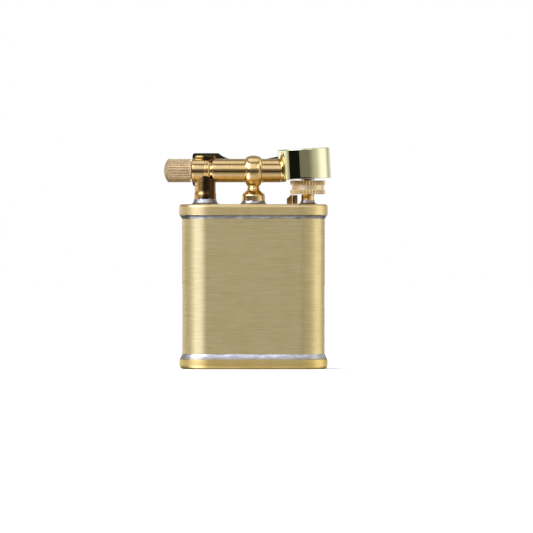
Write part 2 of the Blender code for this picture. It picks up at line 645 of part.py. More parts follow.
def make_flint_train():
    """Spring and pusher behind the flint; the flint's tip is worn to the wheel."""
    spring = coil("flint_spring", 0.95, 0.16, (SCREW_END + GAP, 0, BARREL_Z), 12.0, 7, "X")
    pusher = turned("flint_pusher", [(0, 1.5), (0.9, 1.5), (1.2, 1.3), (1.2, 0.3), (0.9, 0.0), (0, 0)],
                    TURNED_BRASS, (2.6, 0, BARREL_Z), "X", sides=SMALL)
    flint = turned("flint", rod_profile(1.2, 5.3, 0, 0.1), FLINT_GREY, (4.15, 0, BARREL_Z), "X", sides=SMALL)
    boolean(flint, drill("flint_wear", SPARK_RADIUS + GAP, (WHEEL_X, -3, WHEEL_Z), 6, "Y", ROUND))
    return spring, pusher


# ---------------------------------------------------------------- fill valve
def make_fill_valve():
    flange_top, seat_top = 0.7, 3.45
    profile = [(1.45, seat_top), (FILL_RADIUS, seat_top), (FILL_RADIUS, flange_top), (FILL_FLANGE, flange_top),
               (FILL_FLANGE, 0.1), (1.5, 0.1), (1.25, 0.35), (1.25, 1.6), (0.75, 1.6), (0.75, 2.6), (1.45, 2.6)]
    turned("fill_valve_body", profile, TURNED_BRASS, (FILL_X, 0, 0), ring=True, sides=24)
    turned("fill_valve_tube", tube_profile(FILL_RADIUS, 1.45, FILL_TOP, seat_top + GAP), TURNED_BRASS,
           (FILL_X, 0, 0), ring=True, sides=24)
    turned("fill_valve_collar", tube_profile(1.45 - GAP, 0.6, 8.7, 8.2), TURNED_BRASS, (FILL_X, 0, 0),
           ring=True, sides=SMALL)
    coil("fill_valve_spring", 0.9, 0.12, (FILL_X, 0, 3.6), 4.5, 4, "Z")
    stem = turned("fill_valve_stem", [(0, 5.0), (0.5, 5.0), (0.5, 3.5), (1.3, 3.5), (1.3, 3.0), (0.68, 3.0),
                                      (0.68, 0.9), (0.3, 0.9), (0.3, 2.2), (0, 2.2)],
                  TURNED_BRASS, (FILL_X, 0, 0), sides=SMALL)
    seal = turned("fill_valve_seal", tube_profile(1.25, 0.78, 2.95, 2.66), SEAL_RUBBER, (FILL_X, 0, 0),
                  ring=True, sides=SMALL)
    return stem, seal


# ---------------------------------------------------------------- the whole lighter
make_tank()
make_seams()
make_pivot_post()
make_ball_post()
make_barrel()
make_fork()
make_boss()
make_pivot_screw()
make_arm_spring()
make_solder_foot("solder_foot_pivot", PIVOT_POST_X, PIVOT_POST_RADIUS + 0.12, 0.75, 1.2)
make_solder_foot("solder_foot_ball", 0.0, 2.95, 0.65, 0.9)
make_solder_foot("solder_foot_burner", BURNER_X, STEM_RADIUS, 0.6, 0.95)
make_valve()
make_ring_detent()

arm_axis = joint_axis("arm_lift_axis", (PIVOT_X, ARM_FRONT, PIVOT_Z), "Y")
carried_by(arm_axis, make_arm(), *make_cap())

ring_axis = joint_axis("flame_ring_axis", (BURNER_X, 0, RING_LOW))
carried_by(ring_axis, make_ring())

burner_axis = joint_axis("burner_rise_axis", (BURNER_X, 0, NOZZLE_TOP))
nozzle_pad = turned("valve_pad", rod_profile(0.8, 33.37, 33.05), SEAL_RUBBER, (BURNER_X, 0, 0), sides=SMALL)
nozzle_seal = turned("nozzle_seal", tube_profile(1.12, 0.58, 36.9, 36.4), SEAL_RUBBER, (BURNER_X, 0, 0),
                     ring=True, sides=SMALL)
carried_by(burner_axis, make_nozzle(), nozzle_pad, nozzle_seal)

wheel_axis = joint_axis("spark_wheel_axis", (WHEEL_X, 0, WHEEL_Z), "Y")
carried_by(wheel_axis, *make_wheels())

flint_axis = joint_axis("flint_screw_axis", (KNOB_RIGHT, 0, BARREL_Z), "X")
carried_by(flint_axis, make_flint_screw(), *make_flint_train())

fill_axis = joint_axis("fill_valve_axis", (FILL_X, 0, 0))
carried_by(fill_axis, *make_fill_valve())
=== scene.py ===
# A brass lift-arm pocket lighter: fine surfaces, finishes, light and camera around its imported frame.
# Sizes are in millimetres and are turned to metres where a mesh is made.

import math

import bmesh
import bpy
from mathutils import Matrix, Vector


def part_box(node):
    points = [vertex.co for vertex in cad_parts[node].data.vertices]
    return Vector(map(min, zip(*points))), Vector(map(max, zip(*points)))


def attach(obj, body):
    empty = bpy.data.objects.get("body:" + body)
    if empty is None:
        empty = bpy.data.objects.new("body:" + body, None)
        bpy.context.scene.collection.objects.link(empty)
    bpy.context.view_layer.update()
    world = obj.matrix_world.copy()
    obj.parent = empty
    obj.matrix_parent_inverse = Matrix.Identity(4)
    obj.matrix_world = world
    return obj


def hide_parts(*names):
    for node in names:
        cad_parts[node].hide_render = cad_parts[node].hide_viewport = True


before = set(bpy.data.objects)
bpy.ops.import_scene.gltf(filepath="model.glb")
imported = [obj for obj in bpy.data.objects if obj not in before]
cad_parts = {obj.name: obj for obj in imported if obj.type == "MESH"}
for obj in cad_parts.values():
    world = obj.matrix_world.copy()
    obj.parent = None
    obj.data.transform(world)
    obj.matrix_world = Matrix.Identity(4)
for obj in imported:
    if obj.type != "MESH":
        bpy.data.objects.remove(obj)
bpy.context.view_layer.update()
mm = 0.001
sharpAngle = 32   # degrees between faces past which an edge stays crisp
print("frame loaded:", len(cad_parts), "pieces")


# small helpers

def hexColour(text):
    channels = [int(text[i:i + 2], 16) / 255 for i in (1, 3, 5)]
    linear = [c / 12.92 if c <= 0.04045 else ((c + 0.055) / 1.055) ** 2.4 for c in channels]
    return (*linear, 1.0)


def addNode(tree, kind, inputs=None, **settings):
    # an input is a plain value, a socket, or a node that gives its first output
    node = tree.nodes.new(kind)
    for key, value in settings.items():
        setattr(node, key, value)
    for key, value in (inputs or {}).items():
        source = value.outputs[0] if isinstance(value, bpy.types.Node) else value
        if isinstance(source, bpy.types.NodeSocket):
            tree.links.new(source, node.inputs[key])
        else:
            node.inputs[key].default_value = source
    return node


def corners(node):
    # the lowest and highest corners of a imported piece, in millimetres
    low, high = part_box(node)
    return low * 1000, high * 1000


def centre(node):
    low, high = corners(node)
    return (low + high) / 2


def placing(at=(0, 0, 0), axis="Z"):
    turns = {"Z": Matrix.Identity(4), "X": Matrix.Rotation(math.pi / 2, 4, "Y"),
             "Y": Matrix.Rotation(-math.pi / 2, 4, "X")}
    return Matrix.Translation(Vector(at) * mm) @ turns[axis] @ Matrix.Scale(mm, 4)


def addObject(name, data):
    made = bpy.data.objects.new(name, data)
    bpy.context.scene.collection.objects.link(made)
    return made


def creased(mesh):
    mesh.shade_smooth()
    mesh.set_sharp_from_angle(angle=math.radians(sharpAngle))


def cleaned(mesh):
    # doubles merged, faces turned outwards and edges creased
    shape = bmesh.new()
    shape.from_mesh(mesh)
    bmesh.ops.remove_doubles(shape, verts=shape.verts, dist=1e-7)
    bmesh.ops.recalc_face_normals(shape, faces=shape.faces)
    shape.to_mesh(mesh)
    shape.free()
    creased(mesh)


def solidMesh(name, points, faces, matrix):
    mesh = bpy.data.meshes.new(name)
    mesh.from_pydata([matrix @ Vector(p) for p in points], [], faces)
    cleaned(mesh)
    return addObject(name, mesh)


def flattened(piece, crease=False):
    # what the modifiers give, as the piece's own plain mesh
    bpy.context.view_layer.update()
    graph = bpy.context.evaluated_depsgraph_get()
    mesh = bpy.data.meshes.new_from_object(piece.evaluated_get(graph))
    piece.modifiers.clear()
    piece.data = mesh
    if crease:
        creased(mesh)
    return piece


def roundCorners(points, radius, steps=5, closed=False):
    # arcs in place of a polyline's corners; radius is one number, or one for each point
    radii = radius if isinstance(radius, (list, tuple)) else [radius] * len(points)
    straightest = math.radians(176)
    found = []
    for i, here in enumerate(points):
        ends = not closed and i in (0, len(points) - 1)
        corner = Vector(here)
        inward, outward = Vector(points[i - 1]) - corner, Vector(points[(i + 1) % len(points)]) - corner
        turn = 0 if ends or radii[i] <= 0 else inward.angle(outward)
        if turn == 0 or turn > straightest:
            found.append(tuple(here))
            continue
        reach = min(radii[i] / math.tan(turn / 2), inward.length * 0.48, outward.length * 0.48)
        start, end = corner + inward.normalized() * reach, corner + outward.normalized() * reach
        for s in range(steps + 1):
            t = s / steps
            found.append(tuple(start * (1 - t) ** 2 + corner * 2 * t * (1 - t) + end * t ** 2))
    return found


def arcPoints(middle, radius, first, last, steps):
    angles = [math.radians(first + (last - first) * i / steps) for i in range(steps + 1)]
    return [(middle[0] + radius * math.cos(a), middle[1] + radius * math.sin(a)) for a in angles]


def stepped(points, longest):
    # the same line with no stretch longer than asked, so that a later cut or knurl has points to move
    found = [points[0]]
    for here, there in zip(points, points[1:]):
        parts = max(1, math.ceil(math.dist(here, there) / longest))
        found += [tuple(a + (b - a) * k / parts for a, b in zip(here, there)) for k in range(1, parts + 1)]
    return found


def latheMesh(name, profile, at=(0, 0, 0), axis="Z", sides=96, ring=False, matrix=None):
    # profile is (radius, height) pairs; a ring's closes on itself, and any other starts and ends on the axis
    points, rows = [], []
    for radius, height in profile:
        if radius < 1e-6:
            rows.append([len(points)] * sides)
            points.append((0, 0, height))
        else:
            rows.append([len(points) + i for i in range(sides)])
            angles = [math.tau * i / sides for i in range(sides)]
            points += [(radius * math.cos(a), radius * math.sin(a), height) for a in angles]
    pairs = list(zip(rows, rows[1:])) + ([(rows[-1], rows[0])] if ring else [])
    faces = []
    for upper, lower in pairs:
        for i in range(sides):
            j = (i + 1) % sides
            face = [lower[i], lower[j], upper[j], upper[i]]
            unique = [v for k, v in enumerate(face) if v not in face[:k]]
            if len(unique) > 2:
                faces.append(unique)
    return solidMesh(name, points, faces, matrix or placing(at, axis))


def softenEdges(piece, edge, segments):
    soften = piece.modifiers.new("edges", "BEVEL")
    soften.width = edge * mm
    soften.segments = segments
    soften.limit_method = "ANGLE"
    soften.angle_limit = math.radians(50)


def plateMesh(name, outline, thickness, at, axis, edge=0.0, segments=3):
    piece = solidMesh(name, [(x, y, 0) for x, y in outline], [list(range(len(outline)))], placing(at, axis))
    thicken = piece.modifiers.new("thickness", "SOLIDIFY")
    thicken.thickness = thickness * mm
    thicken.offset = 0
    if edge:
        softenEdges(piece, edge, segments)
    return flattened(piece, crease=True)


def drill(radius, first, last, at=(0, 0, 0), axis="Z", sides=64):
    return latheMesh("drill", [(0, first), (radius, first), (radius, last), (0, last)], at, axis, sides)


def squareCutter(low, high):
    points = [(x, y, z) for z in (low[2], high[2])
              for x, y in ((low[0], low[1]), (high[0], low[1]), (high[0], high[1]), (low[0], high[1]))]
    faces = [(0, 1, 2, 3), (4, 5, 6, 7), (0, 1, 5, 4), (1, 2, 6, 5), (2, 3, 7, 6), (3, 0, 4, 7)]
    return solidMesh("cutter", points, faces, placing())


def cutBy(piece, *cutters, join=False):
    for cutter in cutters:
        step = piece.modifiers.new("cut", "BOOLEAN")
        step.operation = "UNION" if join else "DIFFERENCE"
        step.object = cutter
    flattened(piece, crease=True)
    for cutter in cutters:
        bpy.data.objects.remove(cutter, do_unlink=True)
    return piece


def finishPiece(piece, finish, body, slotName, *nodes):
    # flat faces stay flat right up to their rounded edges
    even = piece.modifiers.new("normals", "WEIGHTED_NORMAL")
    even.keep_sharp = True
    flattened(piece)
    piece.data.materials.clear()
    piece.data.materials.append(finish)
    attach(piece, body)
    if nodes:
        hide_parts(*nodes)
    return piece


# finishes

def metalFinish(name, look):
    # grain is how long one mark of the pattern is along X, Y and Z, in millimetres
    material = bpy.data.materials.new(name)
    material.use_nodes = True
    tree = material.node_tree
    shader = tree.nodes["Principled BSDF"]
    place = addNode(tree, "ShaderNodeTexCoord").outputs["Object"]
    stretch = [1 / (length * mm) for length in look["grain"]]
    slant = (0, math.radians(look.get("slant", 0)), 0)
    grainSpace = addNode(tree, "ShaderNodeMapping", {"Vector": place, "Scale": stretch, "Rotation": slant})
    grain = addNode(tree, "ShaderNodeTexNoise",
                    {"Vector": grainSpace, "Scale": 1.0, "Detail": 5.0, "Roughness": 0.62})
    cloud = addNode(tree, "ShaderNodeTexNoise",
                    {"Vector": place, "Scale": 1 / (look["cloud"] * mm), "Detail": 3.0, "Roughness": 0.55})
    keep = addNode(tree, "ShaderNodeMath", {0: grain, 1: 1 - look["cloudShare"]}, operation="MULTIPLY")
    blend = addNode(tree, "ShaderNodeMath", {0: cloud, 1: look["cloudShare"], 2: keep},
                    operation="MULTIPLY_ADD")
    spread = addNode(tree, "ShaderNodeMapRange", {"Value": blend, "From Min": 0.3, "From Max": 0.7},
                     interpolation_type="SMOOTHSTEP")
    dark, light = hexColour(look["dark"]), hexColour(look["light"])
    colour = addNode(tree, "ShaderNodeMix", {0: spread, 6: dark, 7: light}, data_type="RGBA").outputs[2]
    if "paintedReflection" in look:   # painted dark reflection: a dark patch painted on one side of the piece, ragged at its edge and easing off past its far end
        paintedReflection = look["paintedReflection"]
        across = addNode(tree, "ShaderNodeSeparateXYZ", {0: place}).outputs["X"]
        shift = paintedReflection["ragged"] / 2
        ragged = addNode(tree, "ShaderNodeMath", {0: cloud, 1: paintedReflection["ragged"] * mm, 2: across},
                         operation="MULTIPLY_ADD")
        edge = addNode(tree, "ShaderNodeMapRange",
                       {"Value": ragged, "From Min": (paintedReflection["from"] + shift) * mm,
                        "From Max": (paintedReflection["to"] + shift) * mm}, interpolation_type="SMOOTHSTEP")
        far = addNode(tree, "ShaderNodeMapRange",
                      {"Value": across, "From Min": (paintedReflection["end"] - 0.5) * mm, "From Max": paintedReflection["end"] * mm,
                       "To Min": 1.0, "To Max": 0.55}, interpolation_type="SMOOTHSTEP")
        both = addNode(tree, "ShaderNodeMath", {0: edge, 1: far}, operation="MULTIPLY")
        colour = addNode(tree, "ShaderNodeMix", {0: both, 6: colour, 7: hexColour(paintedReflection["colour"])},
                         data_type="RGBA").outputs[2]
    tree.links.new(colour, shader.inputs["Base Color"])
    gloss = addNode(tree, "ShaderNodeMapRange", {"Value": blend, "From Min": 0.25, "From Max": 0.75,
                                                 "To Min": look["rough"][1], "To Max": look["rough"][0]})
    tree.links.new(gloss.outputs[0], shader.inputs["Roughness"])
    relief = addNode(tree, "ShaderNodeBump",
                     {"Height": grain, "Strength": look["bump"], "Distance": look["relief"] * mm})
    tree.links.new(relief.outputs["Normal"], shader.inputs["Normal"])
    shader.inputs["Metallic"].default_value = look.get("metallic", 1.0)
    shader.inputs["Anisotropic"].default_value = look.get("anisotropic", 0.0)
    shader.inputs["Anisotropic Rotation"].default_value = look.get("turn", 0.0)
    if "axis" in look:   # the lathe marks run round this axis
        around = addNode(tree, "ShaderNodeTangent", direction_type="RADIAL", axis=look["axis"])
        tree.links.new(around.outputs[0], shader.inputs["Tangent"])
    return material


# satin brass, brushed round the tank on a belt: lines a few millimetres long, drawn twice their real height
brushedBrass = metalFinish("brushedSatinBrass", {
    "light": "#ECD597", "dark": "#D2BB78", "grain": (4.5, 4.5, 0.18), "slant": -50,
    "cloud": 6, "cloudShare": 0.25, "rough": (0.38, 0.46), "bump": 0.45,
    "relief": 0.012, "anisotropic": 0.6, "turn": 0.25})
# the two plates are the same brass, a little yellower and less worn
plateBrass = metalFinish("brushedPlateBrass", {
    "light": "#F0D592", "dark": "#E0C37C", "grain": (4, 4, 0.22), "cloud": 5, "cloudShare": 0.35,
    "rough": (0.36, 0.45), "bump": 0.45, "relief": 0.012, "anisotropic": 0.6, "turn": 0.25})
baseBrass = metalFinish("brushedBasePlateBrass", {
    "light": "#F5D584", "dark": "#E2C06C", "grain": (4, 4, 0.22), "cloud": 5, "cloudShare": 0.35,
    "rough": (0.36, 0.45), "bump": 0.45, "relief": 0.012, "anisotropic": 0.6, "turn": 0.25})
# free-cutting brass straight off the lathe: bright, with fine tool rings across the barrel
barrelBrass = metalFinish("latheTurnedBrassBarrel", {
    "light": "#E6C688", "dark": "#D6B070", "grain": (0.35, 9, 9), "cloud": 5, "cloudShare": 0.3,
    "rough": (0.15, 0.24), "bump": 0.35, "relief": 0.01, "anisotropic": 0.6, "turn": 0.25, "axis": "X"})
# the same brass turned about an upright axis
postBrass = metalFinish("latheTurnedBrassPost", {
    "light": "#F2D08E", "dark": "#E0B56E", "grain": (9, 9, 0.35), "cloud": 4, "cloudShare": 0.35,
    "rough": (0.22, 0.32), "bump": 0.35, "relief": 0.01, "anisotropic": 0.7, "turn": 0.25, "axis": "Z"})
headBrass = metalFinish("handPolishedBrass", {
    "light": "#F4D592", "dark": "#E2BA74", "grain": (1.2, 1.2, 1.2), "cloud": 3, "cloudShare": 0.5,
    "rough": (0.16, 0.26), "bump": 0.25, "relief": 0.01})
# the pivot post is a darker, browner brass, and the dark patch on its right side is a painted reflection
darkBrassPaintedReflection = metalFinish("darkBrassPaintedReflection", {
    "light": "#E6B768", "dark": "#B98945", "grain": (6, 6, 0.5), "cloud": 2.4, "cloudShare": 0.5,
    "rough": (0.2, 0.34), "bump": 0.4, "relief": 0.015, "anisotropic": 0.6, "turn": 0.25, "axis": "Z",
    # the dark brown patch is a painted reflection on the post's right side
    "paintedReflection": {"colour": "#4A3520", "from": -13.6, "to": -12.7, "end": -9.9, "ragged": 0.9}})
# cut knurl, blasted and lacquered: soft tan with no mirror in it
knurledBrass = metalFinish("knurledSatinBrass", {
    "light": "#E4C896", "dark": "#CCAD78", "grain": (0.5, 0.5, 0.5), "cloud": 2.5, "cloudShare": 0.4,
    "rough": (0.46, 0.6), "bump": 0.35, "relief": 0.02})
# bright brass with a deeper gold in the knurl, turned like the posts
ringBrass = metalFinish("knurledBrightBrass", {
    "light": "#F8E2AC", "dark": "#EACB90", "grain": (6, 6, 0.4), "cloud": 3, "cloudShare": 0.35,
    "rough": (0.42, 0.54), "bump": 0.3, "relief": 0.01})
# buffed and plated pale gold: a clear mirror with the least haze
mirrorGold = metalFinish("mirrorPolishedPaleGold", {
    "light": "#F2EBB9", "dark": "#ECE4AE", "grain": (7, 7, 7), "cloud": 3, "cloudShare": 0.5,
    "rough": (0.035, 0.07), "bump": 0.05, "relief": 0.02})
# soft solder, cooled dull and lumpy, with browner patches where flux burnt on
softSolder = metalFinish("dullSoftSolder", {
    "light": "#D3CFC4", "dark": "#9E988B", "grain": (2.4, 2.4, 0.5), "cloud": 1.6, "cloudShare": 0.45,
    "rough": (0.32, 0.48), "bump": 0.4, "relief": 0.04})
# a darker, greyer copy of the solder: on the top seam it is painted shade under the top plate's overhang, and
# on the posts' feet it is their own duller solder
darkSolderAndShade = metalFinish("darkSoftSolderAndPaintedShade", {
    "light": "#B8B3A8", "dark": "#787269", "grain": (2.4, 2.4, 0.5), "cloud": 1.4, "cloudShare": 0.5,
    "rough": (0.32, 0.46), "bump": 0.4, "relief": 0.03})
# bright drawn wire and strip
springSteel = metalFinish("brightSpringSteel", {
    "light": "#C9CACC", "dark": "#A3A5A8", "grain": (4, 0.4, 4), "cloud": 2, "cloudShare": 0.4,
    "rough": (0.2, 0.32), "bump": 0.3, "relief": 0.01})
# hardened and blacked file steel
fileSteel = metalFinish("hardenedFileSteel", {
    "light": "#6B6A6C", "dark": "#3A3A3D", "grain": (0.4, 0.4, 0.4), "cloud": 1.2, "cloudShare": 0.4,
    "rough": (0.35, 0.5), "bump": 0.5, "relief": 0.02})
# pressed ferrocerium rod
flintGrey = metalFinish("pressedFerrocerium", {
    "light": "#6A6259", "dark": "#3C3833", "grain": (0.3, 0.3, 0.3), "cloud": 1, "cloudShare": 0.4,
    "rough": (0.6, 0.8), "bump": 0.5, "relief": 0.02, "metallic": 0.6})
# moulded nitrile rubber
sealRubber = metalFinish("mouldedNitrile", {
    "light": "#2B2B2B", "dark": "#1C1C1C", "grain": (0.3, 0.3, 0.3), "cloud": 1, "cloudShare": 0.4,
    "rough": (0.5, 0.65), "bump": 0.2, "relief": 0.01, "metallic": 0.0})
# open-cell filter foam
filterFoam = metalFinish("openCellFoam", {
    "light": "#E6E2D6", "dark": "#B9B3A2", "grain": (0.25, 0.25, 0.25), "cloud": 0.8, "cloudShare": 0.3,
    "rough": (0.85, 0.95), "bump": 0.8, "relief": 0.05, "metallic": 0.0})
print("finishes made")


# node trees for what repeats or follows a path

def newTree(name, sizes):
    # a tree with named inputs for its sizes, and one for its finish
    tree = bpy.data.node_groups.new(name, "GeometryNodeTree")
    tree.interface.new_socket("Geometry", in_out="INPUT", socket_type="NodeSocketGeometry")
    for label, value in sizes.items():
        tree.interface.new_socket(label, in_out="INPUT", socket_type="NodeSocketFloat").default_value = value
    tree.interface.new_socket("Finish", in_out="INPUT", socket_type="NodeSocketMaterial")
    tree.interface.new_socket("Geometry", in_out="OUTPUT", socket_type="NodeSocketGeometry")
    return tree, tree.nodes.new("NodeGroupInput").outputs


def closeTree(tree, given, result):
    real = addNode(tree, "GeometryNodeRealizeInstances", {"Geometry": result})
    coloured = addNode(tree, "GeometryNodeSetMaterial", {"Geometry": real, "Material": given["Finish"]})
    addNode(tree, "NodeGroupOutput", {0: coloured})
    return tree


def runTree(piece, tree, values, matrix=None):
    modifier = piece.modifiers.new(tree.name, "NODES")
    modifier.node_group = tree
    for item in tree.interface.items_tree:
        if item.in_out == "INPUT" and item.name in values:
            modifier[item.identifier] = values[item.name]
    flattened(piece)
    if matrix:
        piece.data.transform(matrix)
    cleaned(piece.data)
    return piece


def sweptBandTree():
    # a wall of even thickness that follows the round-ended outline of the tank
    tree, given = newTree("sweptBand", {"Width": 0.0368, "Depth": 0.0128, "Wall": 0.0008, "Low": 0.0,
                                        "High": 0.03, "Edge": 0.0001})
    width = addNode(tree, "ShaderNodeMath", {0: given["Width"], 1: given["Wall"]}, operation="SUBTRACT")
    depth = addNode(tree, "ShaderNodeMath", {0: given["Depth"], 1: given["Wall"]}, operation="SUBTRACT")
    radius = addNode(tree, "ShaderNodeMath", {0: depth, 1: 0.4999}, operation="MULTIPLY")
    box = addNode(tree, "GeometryNodeCurvePrimitiveQuadrilateral", {"Width": width, "Height": depth})
    path = addNode(tree, "GeometryNodeFilletCurve", {"Curve": box, "Radius": radius, "Count": 40},
                   mode="POLY")
    tall = addNode(tree, "ShaderNodeMath", {0: given["High"], 1: given["Low"]}, operation="SUBTRACT")
    section = addNode(tree, "GeometryNodeCurvePrimitiveQuadrilateral",
                      {"Width": given["Wall"], "Height": tall})
    softened = addNode(tree, "GeometryNodeFilletCurve",
                       {"Curve": section, "Radius": given["Edge"], "Count": 3}, mode="POLY")
    sweep = addNode(tree, "GeometryNodeCurveToMesh", {"Curve": path, "Profile Curve": softened})
    middle = addNode(tree, "ShaderNodeMath", {0: given["High"], 1: given["Low"]}, operation="ADD")
    half = addNode(tree, "ShaderNodeMath", {0: middle, 1: 0.5}, operation="MULTIPLY")
    lift = addNode(tree, "ShaderNodeCombineXYZ", {"Z": half})
    raised = addNode(tree, "GeometryNodeTransform", {"Geometry": sweep, "Translation": lift})
    return closeTree(tree, given, raised)


def knurlTree():
    # straight grooves cut along a turned piece about its own Z, with the cut running out at both ends
    tree, given = newTree("straightKnurl", {"Teeth": 30.0, "Depth": 0.0003, "Land": 0.3, "From": 0.0,
                                            "To": 0.001, "Run Out": 0.0001, "Inner": 0.002})
    place = addNode(tree, "GeometryNodeInputPosition")
    split = addNode(tree, "ShaderNodeSeparateXYZ", {0: place}).outputs
    angle = addNode(tree, "ShaderNodeMath", {0: split["Y"], 1: split["X"]}, operation="ARCTAN2")
    turns = addNode(tree, "ShaderNodeMath", {0: angle, 1: 1 / math.tau}, operation="MULTIPLY")
    count = addNode(tree, "ShaderNodeMath", {0: turns, 1: given["Teeth"]}, operation="MULTIPLY")
    wave = addNode(tree, "ShaderNodeMath", {0: count, 1: 0.5}, operation="PINGPONG")
    groove = addNode(tree, "ShaderNodeMapRange", {"Value": wave, "From Min": given["Land"], "From Max": 0.5},
                     interpolation_type="SMOOTHSTEP")
    flat = addNode(tree, "ShaderNodeCombineXYZ", {"X": split["X"], "Y": split["Y"]})
    away = addNode(tree, "ShaderNodeVectorMath", {0: flat}, operation="NORMALIZE")
    reach = addNode(tree, "ShaderNodeVectorMath", {0: flat}, operation="LENGTH").outputs["Value"]
    rim = addNode(tree, "ShaderNodeMath", {0: reach, 1: given["Inner"]}, operation="GREATER_THAN")
    firstEnd = addNode(tree, "ShaderNodeMath", {0: given["From"], 1: given["Run Out"]}, operation="ADD")
    lastEnd = addNode(tree, "ShaderNodeMath", {0: given["To"], 1: given["Run Out"]}, operation="SUBTRACT")
    rising = addNode(tree, "ShaderNodeMapRange",
                     {"Value": split["Z"], "From Min": given["From"], "From Max": firstEnd},
                     interpolation_type="SMOOTHSTEP")
    falling = addNode(tree, "ShaderNodeMapRange",
                      {"Value": split["Z"], "From Min": lastEnd, "From Max": given["To"], "To Min": 1.0,
                       "To Max": 0.0}, interpolation_type="SMOOTHSTEP")
    amount = rim
    for factor in (groove, rising, falling, given["Depth"]):
        amount = addNode(tree, "ShaderNodeMath", {0: amount, 1: factor}, operation="MULTIPLY")
    inwards = addNode(tree, "ShaderNodeMath", {0: amount, 1: -1.0}, operation="MULTIPLY")
    push = addNode(tree, "ShaderNodeVectorMath", {0: away, "Scale": inwards}, operation="SCALE")
    cut = addNode(tree, "GeometryNodeSetPosition", {"Geometry": given[0], "Offset": push})
    return closeTree(tree, given, cut)


def lumpySolderTree():
    # uneven solder: lumps along the normal, and an edge that wanders away from the joint's root
    tree, given = newTree("lumpySolder", {"Lump": 0.0001, "Wander": 0.0003, "Lump Size": 0.0015,
                                          "Wander Size": 0.004, "Root": 0.0, "Tall": 0.001, "Seed": 1.0})
    place = addNode(tree, "GeometryNodeInputPosition")
    normal = addNode(tree, "GeometryNodeInputNormal")
    split = addNode(tree, "ShaderNodeSeparateXYZ", {0: place}).outputs
    level = addNode(tree, "ShaderNodeCombineXYZ", {"X": split["X"], "Y": split["Y"]})
    offsets = []
    for what, source in (("Lump", place), ("Wander", level)):
        often = addNode(tree, "ShaderNodeMath", {0: 1.0, 1: given[what + " Size"]}, operation="DIVIDE")
        noise = addNode(tree, "ShaderNodeTexNoise",
                        {"Vector": source, "W": given["Seed"], "Scale": often, "Detail": 2.0},
                        noise_dimensions="4D")
        centred = addNode(tree, "ShaderNodeMath", {0: noise, 1: 0.5}, operation="SUBTRACT")
        full = addNode(tree, "ShaderNodeMath", {0: centred, 1: 2.4}, operation="MULTIPLY")
        offsets.append(addNode(tree, "ShaderNodeMath", {0: full, 1: given[what]}, operation="MULTIPLY"))
    lump, wander = offsets
    height = addNode(tree, "ShaderNodeMath", {0: split["Z"], 1: given["Root"]}, operation="SUBTRACT")
    weight = addNode(tree, "ShaderNodeMath", {0: height, 1: given["Tall"]}, operation="DIVIDE")
    wandered = addNode(tree, "ShaderNodeMath", {0: wander, 1: weight}, operation="MULTIPLY")
    along = addNode(tree, "ShaderNodeCombineXYZ", {"Z": wandered})
    out = addNode(tree, "ShaderNodeVectorMath", {0: normal, "Scale": lump}, operation="SCALE")
    both = addNode(tree, "ShaderNodeVectorMath", {0: along, 1: out}, operation="ADD")
    moved = addNode(tree, "GeometryNodeSetPosition", {"Geometry": given[0], "Offset": both})
    return closeTree(tree, given, moved)


def rivetTree():
    # one low dome on every point of a mesh, turned to face along the point's "facing"
    tree, given = newTree("rivetHeads", {"Radius": 0.00075, "Flatness": 0.45})
    ball = addNode(tree, "GeometryNodeMeshUVSphere", {"Segments": 32, "Rings": 16, "Radius": given["Radius"]})
    squash = addNode(tree, "ShaderNodeCombineXYZ", {"X": 1.0, "Y": 1.0, "Z": given["Flatness"]})
    dome = addNode(tree, "GeometryNodeTransform", {"Geometry": ball, "Scale": squash})
    facing = addNode(tree, "GeometryNodeInputNamedAttribute", {"Name": "facing"}, data_type="FLOAT_VECTOR")
    turned = addNode(tree, "FunctionNodeAlignRotationToVector", {"Vector": facing.outputs["Attribute"]},
                     axis="Z")
    spots = addNode(tree, "GeometryNodeInstanceOnPoints",
                    {"Points": given[0], "Instance": dome, "Rotation": turned})
    return closeTree(tree, given, spots)


bandNodes, knurlNodes, solderNodes, rivetNodes = sweptBandTree(), knurlTree(), lumpySolderTree(), rivetTree()
print("node trees made")


# tank, plates and solder seams

tank = {"halfWidth": 18.4, "endRadius": 6.4, "wall": 0.8, "overhang": 0.75, "spigot": 0.85,
        "topEdge": 0.85, "baseEdge": 1.6, "smallEdge": 0.18, "shellEdge": 0.08, "topFlange": 2.8,
        "baseFlange": 2.6, "postHole": 1.8, "rivetHole": 0.45, "valveHole": 2.05, "valveRecess": 2.85,
        "perEnd": 64, "perFlat": 40, "ease": 9.0, "fade": 5.5}
deck = 42.55   # where whatever stands on the top plate begins


def tankOutline(offset):
    # the flats run into the round ends on a curve that tightens smoothly, so no light breaks there
    fade, extra = math.radians(tank["fade"]), tank["ease"]

    def eased(turn):
        left, share = math.exp(-turn / fade), 1 + 1 / fade ** 2
        return ((left * (math.sin(turn) - math.cos(turn) / fade) + 1 / fade) / share * extra,
                (1 - left * (math.cos(turn) + math.sin(turn) / fade)) / share * extra)

    longest, deepest = eased(math.pi / 2)
    radius = tank["endRadius"] - deepest
    flat = tank["halfWidth"] - radius - longest
    quarter = []
    for k in range(tank["perEnd"] // 2 + 1):
        turn = math.pi / 2 * (k / (tank["perEnd"] // 2)) ** 1.25
        along, down = eased(turn)
        quarter.append((flat + along + (radius + offset) * math.sin(turn),
                        tank["endRadius"] - down - radius + (radius + offset) * math.cos(turn)))
    right = [(x, -y) for x, y in quarter] + quarter[-2::-1]
    back = [(flat - 2 * flat * k / tank["perFlat"], tank["endRadius"] + offset)
            for k in range(1, tank["perFlat"])]
    return right + back + [(-x, -y) for x, y in right] + [(-x, -y) for x, y in back]


